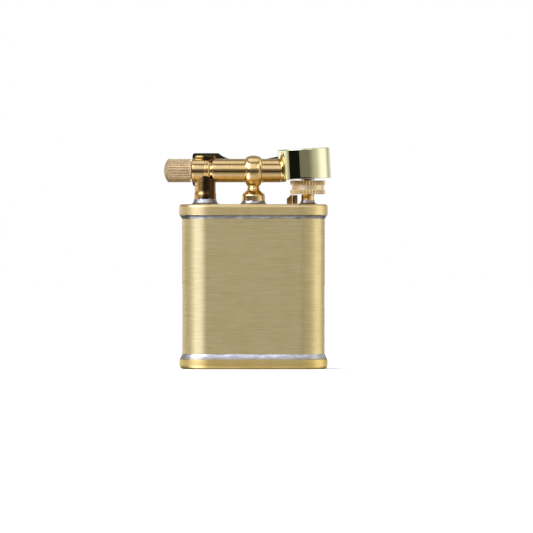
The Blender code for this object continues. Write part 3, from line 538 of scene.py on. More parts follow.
def followTank(name, profile, ring=False):
    # profile is (offset from the tank's face, height), down the outer side
    rows = [[(x, y, z) for x, y in tankOutline(out)] for out, z in profile]
    count = len(rows[0])
    faces = []
    for r in range(len(rows) if ring else len(rows) - 1):
        upper, lower = r * count, (r + 1) % len(rows) * count
        faces += [(lower + i, lower + (i + 1) % count, upper + (i + 1) % count, upper + i)
                  for i in range(count)]
    if not ring:
        faces += [list(range(count)), [(len(rows) - 1) * count + i for i in reversed(range(count))]]
    return solidMesh(name, [p for row in rows for p in row], faces, placing())


def makeTank():
    low, high = corners("tank_shell")
    shell = addObject("tankShell", bpy.data.meshes.new("tankShell"))
    runTree(shell, bandNodes, {"Width": 2 * tank["halfWidth"] * mm, "Depth": 2 * tank["endRadius"] * mm,
                               "Wall": tank["wall"] * mm, "Low": low.z * mm, "High": high.z * mm,
                               "Edge": tank["shellEdge"] * mm, "Finish": brushedBrass})
    finishPiece(shell, brushedBrass, "tank", "brushed_brass", "tank_shell")

    low, high = corners("top_plate")
    under = high.z - tank["topFlange"]
    out, spigot, inner = tank["overhang"], -tank["spigot"], tank["overhang"] - 3
    profile = roundCorners([(inner, high.z), (out, high.z), (out, under), (spigot, under), (spigot, low.z)],
                           [0, tank["topEdge"], tank["smallEdge"], 0, 0], 6)
    rivet = centre("spring_rivet")
    holes = [drill(tank["postHole"], 46, 37, (centre(node).x, 0, 0))
             for node in ("pivot_post", "ball_post", "valve_body")]
    holes.append(drill(tank["rivetHole"], 44, 41, (rivet.x, rivet.y, 0), sides=32))
    top = cutBy(followTank("topPlate", profile), *holes)
    finishPiece(top, plateBrass, "tank", "brushed_brass", "top_plate")

    high = corners("base_plate")[1]
    over = tank["baseFlange"]
    profile = roundCorners([(spigot, high.z), (spigot, over), (out, over), (out, 0), (inner, 0)],
                           [0, 0, tank["smallEdge"], tank["baseEdge"], 0], 8)
    fill = (centre("fill_valve_body").x, 0, 0)
    holes = [drill(tank["valveHole"], 6, -1, fill), drill(tank["valveRecess"], 0.75, -1, fill)]
    base = cutBy(followTank("basePlate", profile), *holes)
    finishPiece(base, baseBrass, "tank", "brushed_brass", "base_plate")


seam = {"wide": 0.66, "topTall": 0.85, "baseTall": 1.25, "lump": 0.06, "wander": 0.24, "inside": 0.02,
        "lumpSize": 1.3, "wanderSize": 3.4}


def makeSeams():
    inside, wide = seam["inside"], seam["wide"]
    slope = [(inside, 1), (0.1, 1), (0.2, 0.72), (0.36, 0.4), (0.55, 0.14), (wide, 0)]   # how far out and up
    # the top seam's darker solder is painted shade under the top plate's overhang
    for name, node, tall, direction, seed, solder in (
            ("solderSeamTop", "solder_seam_top", seam["topTall"], -1, 3.0, darkSolderAndShade),
            ("solderSeamBase", "solder_seam_base", seam["baseTall"], 1, 8.0, softSolder)):
        low, high = corners(node)
        root = high.z if direction < 0 else low.z
        face = [(out, root + direction * share * tall) for out, share in slope]
        bead = followTank(name, roundCorners(face, 0.4, 3) + [(inside, root)], ring=True)
        runTree(bead, solderNodes, {"Lump": seam["lump"] * mm, "Wander": seam["wander"] * mm,
                                    "Lump Size": seam["lumpSize"] * mm,
                                    "Wander Size": seam["wanderSize"] * mm, "Root": root * mm,
                                    "Tall": tall * mm, "Seed": seed, "Finish": solder})
        finishPiece(bead, solder, "tank", "solder", node)


makeTank()
makeSeams()
print("tank made")


# posts, their solder feet, and the flint barrel

barrel = {"radius": 3.02, "left": -15.9, "right": 7.0, "vGroove": -11.06, "vHalf": 0.6, "vDeep": 0.55,
          "lines": (-12.55, -11.95), "lineHalf": 0.13, "lineDeep": 0.12, "height": 51.17, "threadBore": 1.75,
          "flintBore": 1.5, "noseBore": 2.25, "screwHole": 0.95}
foot = {"pivot": {"post": 2.82, "spread": 0.85, "tall": 1.3, "seed": 2.0},
        "ball": {"post": 2.95, "spread": 0.6, "tall": 0.95, "seed": 5.0},
        "burner": {"post": 1.675, "spread": 0.85, "tall": 1.0, "seed": 9.0}}


def makeFoot(which, node):
    settings = foot[which]
    root = corners(node)[0].z
    post, spread, tall = settings["post"] - 0.04, settings["spread"], settings["tall"]
    curve = [(post + 0.06, root + tall), (post + 0.14 * spread + 0.06, root + 0.62 * tall),
             (post + 0.4 * spread, root + 0.26 * tall), (post + spread, root), (post, root),
             (post, root + tall)]
    profile = stepped(roundCorners(curve[:4], 0.5, 4), 0.15) + curve[4:]
    bead = latheMesh("solderFoot." + which, profile, (centre(node).x, 0, 0), sides=120, ring=True)
    runTree(bead, solderNodes, {"Lump": 0.1 * mm, "Wander": 0.35 * mm, "Lump Size": 0.9 * mm,
                                "Wander Size": 1.8 * mm, "Root": root * mm, "Tall": tall * mm,
                                "Seed": settings["seed"], "Finish": darkSolderAndShade})
    finishPiece(bead, darkSolderAndShade, "tank", "solder", node)


def barrelCutter():
    return drill(barrel["radius"] + 0.03, 30, -30, (0, 0, barrel["height"]), "X", 128)


# the head of the ball post: how much deeper than wide, how square, and how far its front bows
head = {"deep": 1.68, "square": 4.4, "bow": 0.056, "middle": 51.2, "neck": 47.0, "change": 1.8}
web = {"from": 51, "thin": 0.38}   # only a narrow web of the pivot post stands above the barrel


def makePosts():
    low = corners("pivot_post")[0]
    profile = roundCorners([(0, 54.95), (2.6, 54.95), (2.6, 50.6), (2.7, 50.6), (2.7, 45.5), (2.78, 45.25),
                            (2.82, 45.1), (2.82, deck), (1.75, deck), (1.75, low.z), (0, low.z)],
                           [0, 0.3] + [0] * 9, 4)
    post = latheMesh("pivotPost", stepped(profile, 0.8), (centre("pivot_post").x, 0, 0))
    for vertex in post.data.vertices:
        if vertex.co.z > web["from"] * mm:
            vertex.co.y *= web["thin"]
    finishPiece(cutBy(post, barrelCutter()), darkBrassPaintedReflection, "tank", "turned_brass", "pivot_post")

    # the ball post is one upright turning, and its head is pressed deeper than it is wide to take the barrel
    low = corners("ball_post")[0]
    crown = [(0, 55.06), (0.5, 55.04), (1.0, 54.95), (1.48, 54.78), (1.88, 54.52), (2.13, 54.15), (2.25, 53.7),
             (2.31, 53.1), (2.33, 51.5), (2.31, 49.0), (2.25, 48.45), (2.1, 48.0), (1.87, 47.62)]
    waist = [(1.62, 47.3), (1.5, 47.08), (1.44, 46.85), (1.47, 46.66), (1.62, 46.58), (1.65, 46.44),
             (1.6, 46.32), (1.5, 46.24), (2.0, 45.8), (2.86, 45.0), (2.98, 44.75), (3.02, deck), (1.75, deck),
             (1.75, low.z), (0, low.z)]
    softness = [0] * (len(crown) + 1) + [0.3, 0.2, 0.05, 0.05, 0.05, 0.08, 0.08, 0.5, 0.25, 0.3, 0, 0, 0, 0]
    post = latheMesh("ballPost", stepped(roundCorners(crown + waist, softness, 4), 0.3), (0, 0, 0), sides=112)
    for vertex in post.data.vertices:   # round below the neck, and a deep rounded square above it
        t = min(max((vertex.co.z / mm - head["neck"]) / head["change"], 0), 1)
        t = t * t * (3 - 2 * t)
        bow = head["deep"] - head["bow"] * (vertex.co.z / mm - head["middle"]) ** 2
        radius = math.hypot(vertex.co.x, vertex.co.y)
        if radius < 1e-6 or t == 0:
            continue
        deep, power = 1 + (bow - 1) * t, 2 + (head["square"] - 2) * t
        along, across = vertex.co.x / radius, vertex.co.y / radius * deep
        reach = radius / (abs(along) ** power + abs(across / deep) ** power) ** (1 / power)
        vertex.co.x, vertex.co.y = along * reach, across * reach
    finishPiece(cutBy(post, barrelCutter()), headBrass, "tank", "turned_brass", "ball_post")

    for which, node in (("pivot", "solder_foot_pivot"), ("ball", "solder_foot_ball"),
                        ("burner", "solder_foot_burner")):
        makeFoot(which, node)


def makeBarrel():
    radius, left, right = barrel["radius"], barrel["left"], barrel["right"]
    outer = [(radius - 0.14, left), (radius, left + 0.14)]
    for line in barrel["lines"]:
        outer += [(radius, line - barrel["lineHalf"]), (radius - barrel["lineDeep"], line),
                  (radius, line + barrel["lineHalf"])]
    outer += [(radius, barrel["vGroove"] - barrel["vHalf"]), (radius - barrel["vDeep"], barrel["vGroove"]),
              (radius, barrel["vGroove"] + barrel["vHalf"]), (radius, right - 0.06), (radius - 0.06, right)]
    softness = [0, 0.12] + [0.04, 0.05, 0.04] * 2 + [0.1, 0.16, 0.1, 0, 0]
    outer = stepped(roundCorners(outer, softness, 5), 1.2)
    profile = outer[::-1] + [
        (barrel["threadBore"], left), (barrel["threadBore"], -9.0), (barrel["flintBore"], -9.0),
        (barrel["flintBore"], 5.5), (barrel["noseBore"], 5.5), (barrel["noseBore"], right)]
    body = latheMesh("flintBarrel", profile, (0, 0, barrel["height"]), "X", 144, ring=True)
    screw = centre("pivot_screw")
    hole = drill(barrel["screwHole"], 4.5, 1.2, (screw.x, 0, screw.z), "Y", 48)
    finishPiece(cutBy(body, hole), barrelBrass, "tank", "turned_brass", "flint_barrel")


makePosts()
makeBarrel()
print("posts and barrel made")


# knurled flint screw

screwHead = {"teeth": 26, "depth": 0.2, "radius": 3.0, "left": -23.07, "right": -16.1, "dome": 1.1,
             "knurlFrom": 0.95, "knurlTo": 6.9, "thread": 1.65, "threadEnd": -9.5, "pin": 0.7, "pinEnd": -7.5}


def makeFlintScrew():
    s = screwHead
    long, radius = s["right"] - s["left"], s["radius"]
    sag, bulge = s["dome"], (radius ** 2 + s["dome"] ** 2) / (2 * s["dome"])
    dome = [(bulge * math.sin(a), bulge - bulge * math.cos(a))
            for a in [math.asin(radius / bulge) * k / 14 for k in range(15)]]
    dome[0] = (0, 0)
    grip = stepped([(radius, sag), (radius, long - 0.08), (radius - 0.06, long - 0.02)], 0.25)
    threadEnd, pinEnd = s["threadEnd"] - s["left"], s["pinEnd"] - s["left"]
    shank = [(2.3, long - 0.02), (2.3, long + 0.13), (s["thread"], long + 0.13), (s["thread"], threadEnd),
             (s["pin"], threadEnd), (s["pin"], pinEnd), (0, pinEnd)]
    profile = (dome + grip[1:] + shank)[::-1]
    head = latheMesh("flintScrew", profile, sides=s["teeth"] * 10, matrix=Matrix.Scale(mm, 4))
    runTree(head, knurlNodes, {"Teeth": float(s["teeth"]), "Depth": s["depth"] * mm, "Land": 0.24,
                               "From": s["knurlFrom"] * mm, "To": s["knurlTo"] * mm, "Run Out": 0.3 * mm,
                               "Inner": 2.5 * mm, "Finish": knurledBrass},
            placing((s["left"], 0, barrel["height"]), "X") @ Matrix.Scale(1 / mm, 4))
    finishPiece(head, knurledBrass, "flint_screw", "knurled_brass", "flint_screw")


makeFlintScrew()


# snuffer cap, its arm and the pivot

cap = {"x": 13.1, "z": 52.9, "radius": 6.7, "half": 3.9, "wall": 0.6, "roof": 0.7, "tilt": 3.0, "edge": 0.32,
       "notch": 3.25, "notchEnd": 10.5, "tabFrom": 96, "tabTo": 142, "tabThick": 0.7, "tabGap": 0.05,
       "tabTall": 4.7, "rivetAngles": (126, 106), "rivetHeight": 52.1, "rivetRadius": 0.75, "plugRadius": 0.85,
       "plugAlong": 0.86}
arm = {"front": 4.05, "back": 4.85, "pivotX": -12.3, "pivotZ": 51.3, "shoulder": 1.3, "lean": 0.75}


def capMatrix(along=0.0):
    tilt = math.radians(cap["tilt"])
    place = Vector((cap["x"] + along * math.cos(tilt), 0, cap["z"] + along * math.sin(tilt))) * mm
    return Matrix.Translation(place) @ Matrix.Rotation(-tilt, 4, "Y") @ Matrix.Scale(mm, 4)


def makeCap():
    high, radius, wall = cap["half"], cap["radius"], cap["wall"]
    profile = [(0, high), (radius, high), (radius, -high), (radius - wall, -high),
               (radius - wall, high - cap["roof"]), (0, high - cap["roof"])]
    profile = stepped(roundCorners(profile, [0, cap["edge"], 0.09, 0.09, 0.15, 0], 6), 0.5)
    drum = latheMesh("snufferCap", profile, sides=176, matrix=capMatrix())
    notch, notchEnd = cap["notch"], cap["notchEnd"]
    arch = drill(notch, notchEnd, 0, (0, 0, barrel["height"]), "X", 128)
    mouth = squareCutter((0, -notch, 44), (notchEnd, notch, barrel["height"]))
    finishPiece(cutBy(drum, arch, mouth), mirrorGold, "arm", "polished_gold", "snuffer_cap")

    wide = cap["plugRadius"]
    for name, top, bottom, edge, finish, slotName, node in (
            ("snufferPlug", 3.15, -0.1, 0.08, postBrass, "turned_brass", "snuffer_plug"),
            ("snufferPad", -0.15, -0.72, 0.12, sealRubber, "seal_rubber", "snuffer_pad")):
        profile = roundCorners([(0, top), (wide, top), (wide, bottom), (0, bottom)], edge, 3)
        piece = latheMesh(name, profile, sides=48, matrix=capMatrix(cap["plugAlong"]))
        finishPiece(piece, finish, "arm", slotName, node)


def makeArm():
    x, z = arm["pivotX"], arm["pivotZ"]
    bottom, left, top = z - 4.35, x - 3.45, z + 4.4
    outline = [(left, bottom), (x + 1.7, bottom), (-9.85, 48.5), (-8.4, 49.6), (-5.0, 50.1), (3.0, 50.1),
               (7.75, 49.7), (7.75, 54.95), (5.8, 54.75), (2.4, 54.05), (-1.0, 53.75), (-4.6, 54.0),
               (-6.1, 54.22), (-7.1, 54.5), (-8.1, 55.0), (-9.05, top), (left, top)]
    softness = [1.2, 0.5, 0.8, 1.2, 3, 3, 0, 0, 1.5, 3, 4, 3, 1.5, 0.8, 0.8, 0.5, 0.7]
    outline = roundCorners(outline, softness, 6, closed=True)
    thick = arm["back"] - arm["front"]
    middle = (arm["front"] + arm["back"]) / 2
    strip = plateMesh("snufferArm", [(a, -b) for a, b in outline], thick, (0, middle, 0), "Y")
    hinge = Matrix.Translation(Vector((0, middle, z)) * mm)   # the strip leans forward by less than a degree
    strip.data.transform(hinge @ Matrix.Rotation(math.radians(arm["lean"]), 4, "X") @ hinge.inverted())
    inner = cap["radius"] + cap["tabGap"]
    outer = inner + cap["tabThick"]
    tab = arcPoints((cap["x"], 0), outer, cap["tabFrom"], cap["tabTo"], 20) + arcPoints(
        (cap["x"], 0), inner, cap["tabTo"], cap["tabFrom"], 20)
    strip = cutBy(strip, plateMesh("tab", tab, cap["tabTall"], (0, 0, cap["rivetHeight"]), "Z"), join=True)
    strip = cutBy(strip, drill(arm["shoulder"] + 0.06, 8, 0, (x, 0, z), "Y"))
    softenEdges(strip, 0.1, 3)
    flattened(strip, crease=True)
    finishPiece(strip, mirrorGold, "arm", "polished_gold", "snuffer_arm")

    # domed rivets that hold the cap to the arm's tab
    root = Vector((cap["x"], 0, cap["rivetHeight"]))
    facings = [Vector((math.cos(math.radians(angle)), math.sin(math.radians(angle)), 0))
               for angle in cap["rivetAngles"]]
    points = [(root + away * (outer + 0.02)) * mm for away in facings]
    mesh = bpy.data.meshes.new("capRivets")
    mesh.from_pydata(points, [], [])
    aim = mesh.attributes.new("facing", "FLOAT_VECTOR", "POINT")
    for k, away in enumerate(facings):
        aim.data[k].vector = away
    heads = addObject("capRivets", mesh)
    runTree(heads, rivetNodes, {"Radius": cap["rivetRadius"] * mm, "Flatness": 0.4, "Finish": postBrass})
    finishPiece(heads, postBrass, "arm", "turned_brass", "cap_rivet_outer", "cap_rivet_inner")


pivot = {"bossRadius": 3.6, "bossFront": 2.8, "bossBack": 3.95, "headRadius": 2.0, "headTall": 0.8,
         "slotWide": 0.5, "slotDeep": 0.4, "thread": 0.9, "threadEnd": 1.75, "gap": 0.05}
leafSpring = {"bendX": -13.0, "thick": 0.3, "wide": 1.5, "upperEnd": -11.0, "lowerEnd": -10.2}


def makePivot():
    x, z = arm["pivotX"], arm["pivotZ"]
    boss = latheMesh("pivotBoss", roundCorners(
        [(0, pivot["bossBack"]), (pivot["bossRadius"], pivot["bossBack"]),
         (pivot["bossRadius"], pivot["bossFront"]), (0, pivot["bossFront"])], 0.15, 4), (x, 0, z), "Y", 96)
    hole = drill(barrel["screwHole"], 4.5, 1.2, (x, 0, z), "Y", 48)
    finishPiece(cutBy(boss, barrelCutter(), hole), postBrass, "tank", "turned_brass", "pivot_boss")

    seat = arm["back"] + 0.3 + pivot["gap"]
    top = seat + pivot["headTall"]
    shoulderEnd = pivot["bossBack"] + pivot["gap"]
    profile = [(0, top), (pivot["headRadius"], top), (pivot["headRadius"], seat), (arm["shoulder"], seat),
               (arm["shoulder"], shoulderEnd), (pivot["thread"], shoulderEnd),
               (pivot["thread"], pivot["threadEnd"]), (0, pivot["threadEnd"])]
    profile = roundCorners(profile, [0, 0.3, 0.08, 0, 0, 0, 0.1, 0], 5)
    screw = latheMesh("pivotScrew", profile, (x, 0, z), "Y", 72)
    half, deep = pivot["slotWide"] / 2, top - pivot["slotDeep"]
    slotCut = squareCutter((x - half, deep, z - 4), (x + half, top + 1, z + 4))
    finishPiece(cutBy(screw, slotCut), postBrass, "tank", "turned_brass", "pivot_screw")
    washer = latheMesh("pivotWasher", roundCorners([(2.3, 0.2), (2.3, 0), (1.36, 0), (1.36, 0.2)], 0.05, 3,
                                                   closed=True), (x, arm["back"] + pivot["gap"], z), "Y", 64,
                       ring=True)
    finishPiece(washer, springSteel, "tank", "spring_steel", "pivot_washer")

    # the leaf that holds the arm shut, bent from one strip
    low, high = corners("arm_spring")
    bend, thick = (high.z - low.z) / 2, leafSpring["thick"]
    upper, lower = leafSpring["upperEnd"], leafSpring["lowerEnd"]
    middle = (leafSpring["bendX"], low.z + bend)
    outline = [(upper, high.z)] + arcPoints(middle, bend, 90, 270, 28) + [(lower, low.z)]
    outline += [(lower, low.z + thick)] + arcPoints(middle, bend - thick, 270, 90, 28)
    outline.append((upper, high.z - thick))
    leaf = plateMesh("armSpring", [(a, -b) for a, b in outline], leafSpring["wide"],
                     (0, centre("arm_spring").y, 0), "Y", 0.05, 2)
    finishPiece(leaf, springSteel, "tank", "spring_steel", "arm_spring")
    spot = centre("spring_rivet")
    profile = [(0, 0.35), (0.62, 0.3), (0.7, 0.03), (0.42, 0.03), (0.42, -1.6), (0, -1.6)]
    rivet = latheMesh("springRivet", roundCorners(profile, [0, 0.25, 0, 0, 0, 0], 4),
                      (spot.x, spot.y, low.z + thick), sides=40)
    finishPiece(rivet, postBrass, "tank", "turned_brass", "spring_rivet")


makeCap()
makeArm()
makePivot()
print("cap, arm and pivot made")


# burner: stem, flame ring, clip, nozzle

burner = {"x": 14.0, "teeth": 34, "depth": 0.42, "rimRadius": 4.52, "neckRadius": 4.1, "rimTall": 1.15,
          "low": 45.08, "high": 48.62, "bore": 1.21, "nozzleTop": 52.05}


def makeBurner():
    x = burner["x"]
    stem = [(1.15, 48.67), (1.15, 45.0), (1.675, 45.0), (1.675, 42.5), (1.75, 42.4), (1.75, 37.8), (3.2, 37.8),
            (3.2, 37.2), (2.4, 37.2), (2.4, 27.5), (2.0, 27.5), (2.0, 29.5), (0.35, 29.5), (0.35, 33.0),
            (0.7, 33.0), (0.7, 30.5), (1.7, 30.5), (1.7, 35.6), (1.15, 35.6), (1.15, 38.0), (0.61, 38.0),
            (0.61, 49.2), (0.95, 49.2), (0.95, 48.67)]
    softness = [0, 0, 0.08, 0, 0, 0.1, 0.2, 0.2, 0.1, 0.2] + [0] * 12 + [0.06, 0]
    body = latheMesh("valveBody", roundCorners(stem, softness, 3, closed=True), (x, 0, 0), sides=72, ring=True)
    finishPiece(body, postBrass, "tank", "turned_brass", "valve_body")

    # the flame ring is one turned spool with a straight knurl cut across both rims
    rim, neck, tall = burner["rimRadius"], burner["neckRadius"], burner["rimTall"]
    low, high, bore = burner["low"], burner["high"], burner["bore"]
    profile = [(bore, high), (rim, high), (rim, high - tall), (neck, high - tall), (neck, low + tall),
               (rim, low + tall), (rim, low), (bore, low)]
    softness = [0.05, 0.14, 0.1, 0.03, 0.03, 0.1, 0.14, 0.05]
    profile = stepped(roundCorners(profile, softness, 4, closed=True), 0.2)
    spool = latheMesh("flameRing", profile, (x, 0, 0), sides=burner["teeth"] * 8, ring=True)
    spool.data.transform(Matrix.Translation((-x * mm, 0, 0)))
    for first, last in ((low, low + tall), (high - tall, high)):
        runTree(spool, knurlNodes, {"Teeth": float(burner["teeth"]), "Depth": burner["depth"] * mm,
                                    "Land": 0.02, "From": (first - 0.06) * mm, "To": (last + 0.06) * mm,
                                    "Run Out": 0.12 * mm, "Inner": (neck + 0.1) * mm, "Finish": ringBrass})
    spool.data.transform(Matrix.Translation((x * mm, 0, 0)))
    finishPiece(spool, ringBrass, "flame_ring", "turned_brass", "flame_ring")

    low, high = corners("ring_clip")
    profile = [(1.75, high.z), (1.75, low.z), (1.0, low.z), (1.0, high.z)]
    clip = latheMesh("ringClip", roundCorners(profile, 0.06, 3, closed=True), (x, 0, 0), sides=56, ring=True)
    finishPiece(clip, springSteel, "tank", "spring_steel", "ring_clip")

    top = burner["nozzleTop"]
    jet = [(0, 33.42), (1.5, 33.42), (1.5, 34.2), (0.55, 34.2), (0.55, 49.35), (0.8, 49.35), (0.8, top - 0.3),
           (0.55, top), (0.25, top), (0.25, top - 2), (0, top - 2)]
    jet = roundCorners(jet, [0, 0.1, 0.1, 0, 0, 0.06, 0.1, 0.08, 0.04, 0, 0], 3)
    nozzle = latheMesh("burnerNozzle", jet[::-1], (x, 0, 0), sides=56)
    finishPiece(nozzle, postBrass, "burner", "turned_brass", "burner_nozzle")


makeBurner()


# the bracket beside the stem and the folded leaf in it

bracketBrass = metalFinish("sawnBrass", {
    "light": "#B98F4C", "dark": "#7E5A28", "grain": (0.6, 0.6, 3), "cloud": 1.5, "cloudShare": 0.5,
    "rough": (0.24, 0.4), "bump": 0.4, "relief": 0.015})   # left as it was sawn, and browner than the rest


def makeBracket():
    low = deck
    outline = [(8.58, low), (9.95, low), (9.95, 44.95), (9.7, 44.95), (8.58, 43.95)]
    block = plateMesh("ringBracket", [(a, -b) for a, b in outline], 2.6, (0, 0, 0), "Y", 0.1, 3)
    finishPiece(block, bracketBrass, "tank", "turned_brass", "ring_bracket")
    folds = [(10.02, -1.1), (10.3, -1.1), (10.3, 0.8), (10.6, 0.8), (10.6, -1.1), (11.35, -1.1), (11.35, 1.1),
             (11.07, 1.1), (11.07, -0.8), (10.88, -0.8), (10.88, 1.1), (10.02, 1.1)]
    leaf = plateMesh("ringLeaf", folds, 2.3, (0, 0, low + 1.15), "Z", 0.05, 2)
    finishPiece(leaf, bracketBrass, "tank", "spring_steel", "ring_leaf")


makeBracket()
print("burner made")


# spark wheel, its thumb wheels, fork and axle

wheel = {"x": 11.0, "z": 52.4, "bore": 0.66,
         "spark": {"teeth": 28, "radius": 1.95, "depth": 0.2, "half": 1.3},
         "thumb": {"teeth": 20, "radius": 2.25, "depth": 0.28, "wide": 0.85}}


def makeWheels():
    spark, thumb = wheel["spark"], wheel["thumb"]
    rows = [("sparkWheel", spark, 2 * spark["half"], 0.0, fileSteel, "file_steel", "spark_wheel")]
    away = spark["half"] + 0.05 + thumb["wide"] / 2
    for name, y, node in (("thumbWheelFront", -away, "thumb_wheel_front"),
                          ("thumbWheelBack", away, "thumb_wheel_back")):
        rows.append((name, thumb, thumb["wide"], y, knurledBrass, "knurled_brass", node))
    for name, settings, wide, y, finish, slotName, node in rows:
        radius, half = settings["radius"], wide / 2
        profile = [(wheel["bore"], half), (radius, half), (radius, -half), (wheel["bore"], -half)]
        profile = stepped(roundCorners(profile, [0.05, 0.1, 0.1, 0.05], 3, closed=True), 0.35)
        disc = latheMesh(name, profile, sides=settings["teeth"] * 8, ring=True, matrix=Matrix.Scale(mm, 4))
        runTree(disc, knurlNodes, {"Teeth": float(settings["teeth"]), "Depth": settings["depth"] * mm,
                                   "Land": 0.12, "From": -2 * mm, "To": 2 * mm, "Run Out": 0.1 * mm,
                                   "Inner": (radius - 0.3) * mm, "Finish": finish},
                placing((wheel["x"], y, wheel["z"]), "Y") @ Matrix.Scale(1 / mm, 4))
        finishPiece(disc, finish, "spark_wheel", slotName, node)


def makeFork():
    bore, right = 1.5, barrel["right"]
    profile = [(2.94, 0.05), (2.2, 0.05), (2.2, -1.45), (bore, -1.45), (bore, 1.5), (2.64, 1.5), (2.94, 1.2)]
    nose = latheMesh("wheelFork", roundCorners(profile, [0.03, 0, 0, 0, 0.05, 0.1, 0.12], 3, closed=True),
                     (right, 0, barrel["height"]), "X", 120, ring=True)
    root, height = right + 0.3, barrel["height"]
    outline = [(root, height - 1.3), (root + 1.6, height - 1.3)] + arcPoints(
        (wheel["x"], wheel["z"]), 1.25, -80, 80, 24) + [(root, height + 1.3)]
    ears = [plateMesh("ear", [(a, -b) for a, b in outline], 0.5, (0, side * 2.5, 0), "Y", 0.06, 2)
            for side in (-1, 1)]
    nose = cutBy(nose, *ears, join=True)
    hole = drill(0.65, 5, -5, (wheel["x"], 0, wheel["z"]), "Y", 40)
    finishPiece(cutBy(nose, hole), barrelBrass, "tank", "turned_brass", "wheel_fork")
    upper = [(0, 3.05), (0.75, 3.05), (0.95, 2.8), (0.6, 2.8)]
    profile = upper + [(radius, -height) for radius, height in upper[::-1]]
    axle = latheMesh("wheelAxle", roundCorners(profile, [0, 0.2, 0, 0, 0, 0, 0.2, 0], 4),
                     (wheel["x"], 0, wheel["z"]), "Y", 48)
    finishPiece(axle, springSteel, "tank", "spring_steel", "wheel_axle")


makeWheels()
makeFork()
print("wheel made")


# fill valve in the underside

def makeFillValve():
    x = centre("fill_valve_body").x
    body = [(1.45, 3.45), (2.0, 3.45), (2.0, 0.7), (2.8, 0.7), (2.8, 0.1), (1.5, 0.1), (1.25, 0.35),
            (1.25, 1.6), (0.75, 1.6), (0.75, 2.6), (1.45, 2.6)]
    piece = latheMesh("fillValveBody", roundCorners(body, [0.04] * 3 + [0.05, 0.1, 0.05] + [0.04] * 5, 3,
                                                    closed=True), (x, 0, 0), sides=80, ring=True)
    # two key slots for the fitting tool
    slots = [squareCutter((x + side * 2.75 - 0.55, -0.35, -1), (x + side * 2.75 + 0.55, 0.35, 0.45))
             for side in (-1, 1)]
    finishPiece(cutBy(piece, *slots), postBrass, "tank", "turned_brass", "fill_valve_body")
    stem = [(0, 5.0), (0.5, 5.0), (0.5, 3.5), (1.3, 3.5), (1.3, 3.0), (0.68, 3.0), (0.68, 0.9), (0.3, 0.9),
            (0.3, 2.2), (0, 2.2)]
    valve = latheMesh("fillValveStem", roundCorners(stem, [0, 0.1, 0, 0.06, 0.06, 0, 0.08, 0.05, 0, 0], 3),
                      (x, 0, 0), sides=48)
    finishPiece(valve, postBrass, "fill_stem", "turned_brass", "fill_valve_stem")


makeFillValve()

# pieces that stay as they were cut take the same finishes
kept = {"valve_gasket": sealRubber, "valve_pad": sealRubber, "nozzle_seal": sealRubber,
        "fill_valve_seal": sealRubber, "valve_filter": filterFoam, "valve_spring": springSteel,
        "fill_valve_spring": springSteel, "flint_spring": springSteel, "flint": flintGrey,
        "flint_pusher": postBrass, "fill_valve_tube": postBrass, "fill_valve_collar": postBrass}
for node, finish in kept.items():
    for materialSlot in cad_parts[node].material_slots:
        materialSlot.material = finish
print("kept pieces finished")


# floor, light and camera

def makeFloor():
    side = 3.0
    mesh = bpy.data.meshes.new("floor")
    sheet = [(-side, -side, 0), (side, -side, 0), (side, side, 0), (-side, side, 0)]
    mesh.from_pydata(sheet, [], [(0, 1, 2, 3)])
    floor = addObject("floor", mesh)
    material = bpy.data.materials.new("whitePaper")
    material.use_nodes = True
    shader = material.node_tree.nodes["Principled BSDF"]
    shader.inputs["Base Color"].default_value = hexColour("#F6F6F5")
    shader.inputs["Roughness"].default_value = 0.9
    shader.inputs["Specular IOR Level"].default_value = 0.2
    mesh.materials.append(material)
    floor.visible_glossy = False   # the metal mirrors the soft boxes instead of the paper


# soft boxes round the object: bearing from the front and height above the horizon, half sizes and soft
# borders, all in degrees; the later ones lie over the earlier ones, and the dark ones are flags
room = 0.2
softBoxes = [   # bearing, half width, soft width, height, half height, soft height, strength
    (0, 75, 30, 0, 55, 20, 0.25),
    (10, 50, 30, -62, 24, 16, 0.75),
    (180, 34, 30, 0, 8, 12, 0.9),
    (180, 70, 20, 40, 14, 16, 0.5),
    (66, 10, 40, 4, 34, 30, 0.75),
    (94, 10, 34, 4, 40, 30, 1.5),
    (-116, 16, 36, -2, 4, 6, 1.5),
    (-46, 13, 42, 34, 14, 6, 6.7),
    (-50, 10, 40, -40, 13, 12, 5.3),
    (22, 16, 34, 30, 11, 6, 1.1),
    (24, 7, 14, -38, 10, 14, 0.9),
    (26, 7, 13, 32, 10, 8, 2.2),
    (0, 180, 1, 95, 18, 12, 1.4),
    (0, 24, 20, -9, 7, 1.5, 0.05),
    (-45.5, 24.3, 1.5, -3, 15, 2.5, 0.01),
    (-0.4, 2, 0.6, -1.2, 0.5, 0.15, 0.01),
]


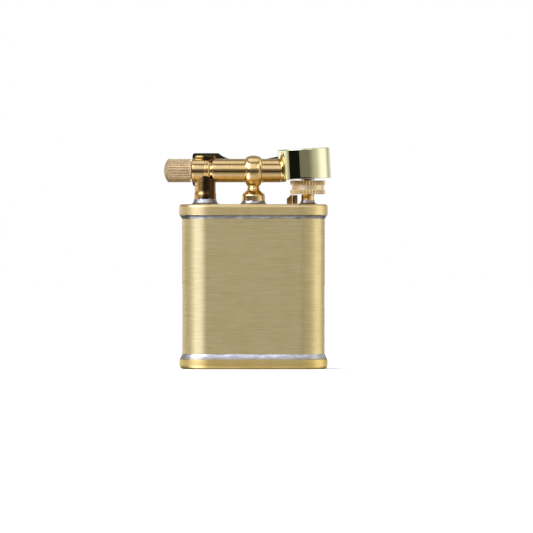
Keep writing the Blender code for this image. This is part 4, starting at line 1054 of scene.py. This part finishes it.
def makeLight():
    world = bpy.data.worlds.new("studio")
    bpy.context.scene.world = world
    world.use_nodes = True
    tree = world.node_tree
    tree.nodes.clear()
    place = addNode(tree, "ShaderNodeTexCoord").outputs["Generated"]
    split = addNode(tree, "ShaderNodeSeparateXYZ", {0: place}).outputs
    forward = addNode(tree, "ShaderNodeMath", {0: split["Y"], 1: -1.0}, operation="MULTIPLY")
    bearing = addNode(tree, "ShaderNodeMath", {0: split["X"], 1: forward}, operation="ARCTAN2")
    height = addNode(tree, "ShaderNodeMath", {0: split["Z"]}, operation="ARCSINE")
    total = addNode(tree, "ShaderNodeValue")
    total.outputs[0].default_value = room
    for *across, strength in softBoxes:
        sides = []
        for angle, (middle, half, soft) in ((bearing, across[:3]), (height, across[3:])):
            offset = addNode(tree, "ShaderNodeMath", {0: angle, 1: math.radians(middle)}, operation="SUBTRACT")
            wrapped = addNode(tree, "ShaderNodeMath", {0: offset, 1: math.pi, 2: -math.pi}, operation="WRAP")
            distance = addNode(tree, "ShaderNodeMath", {0: wrapped}, operation="ABSOLUTE")
            sides.append(addNode(tree, "ShaderNodeMapRange",
                                 {"Value": distance, "From Min": math.radians(half),
                                  "From Max": math.radians(half + soft), "To Min": 1.0, "To Max": 0.0},
                                 interpolation_type="SMOOTHSTEP"))
        share = addNode(tree, "ShaderNodeMath", {0: sides[0], 1: sides[1]}, operation="MULTIPLY")
        total = addNode(tree, "ShaderNodeMix", {0: share, 2: total, 3: strength}, data_type="FLOAT")
    # the brighter boxes are daylight lamps, a little cooler than the room
    cool = addNode(tree, "ShaderNodeMapRange", {"Value": total, "From Min": 0.7, "From Max": 2.4})
    tint = addNode(tree, "ShaderNodeMix", {0: cool, 6: (0.8, 0.8, 0.8, 1), 7: (0.77, 0.86, 1.26, 1)},
                   data_type="RGBA")
    glow = addNode(tree, "ShaderNodeBackground", {"Strength": total, "Color": tint.outputs[2]})
    white = addNode(tree, "ShaderNodeBackground", {"Color": (1, 1, 1, 1), "Strength": 1.0})
    ray = addNode(tree, "ShaderNodeLightPath").outputs["Is Camera Ray"]
    choose = addNode(tree, "ShaderNodeMixShader", {0: ray, 1: glow, 2: white})
    addNode(tree, "ShaderNodeOutputWorld", {"Surface": choose})

    # a broad soft lamp that whitens the floor and gives the contact shadow, and no metal mirrors it
    lamp = bpy.data.lights.new("ceilingLamp", "SUN")
    lamp.energy = 2.6
    lamp.angle = math.radians(50)
    holder = addObject("ceilingLamp", lamp)
    holder.rotation_euler = (math.radians(18), math.radians(-22), 0)
    holder.visible_glossy = False


# a long lens, nearly level
view = {"x": 3.36, "distance": 2400, "height": 39, "width": 137.4, "aimHeight": 26.45, "sensor": 36}


def makeCamera():
    data = bpy.data.cameras.new("camera")
    data.sensor_width = view["sensor"]
    data.lens = view["sensor"] * view["distance"] / view["width"]
    data.clip_start, data.clip_end = 0.01, 20
    holder = addObject("camera", data)
    holder.location = Vector((view["x"], -view["distance"], view["height"])) * mm
    aim = Vector((view["x"], 0, view["aimHeight"])) * mm
    holder.rotation_euler = (aim - holder.location).to_track_quat("-Z", "Y").to_euler()
    bpy.context.scene.camera = holder


makeFloor()
makeLight()
makeCamera()
bpy.context.scene.view_settings.view_transform = "Standard"
print("floor, light and camera made")
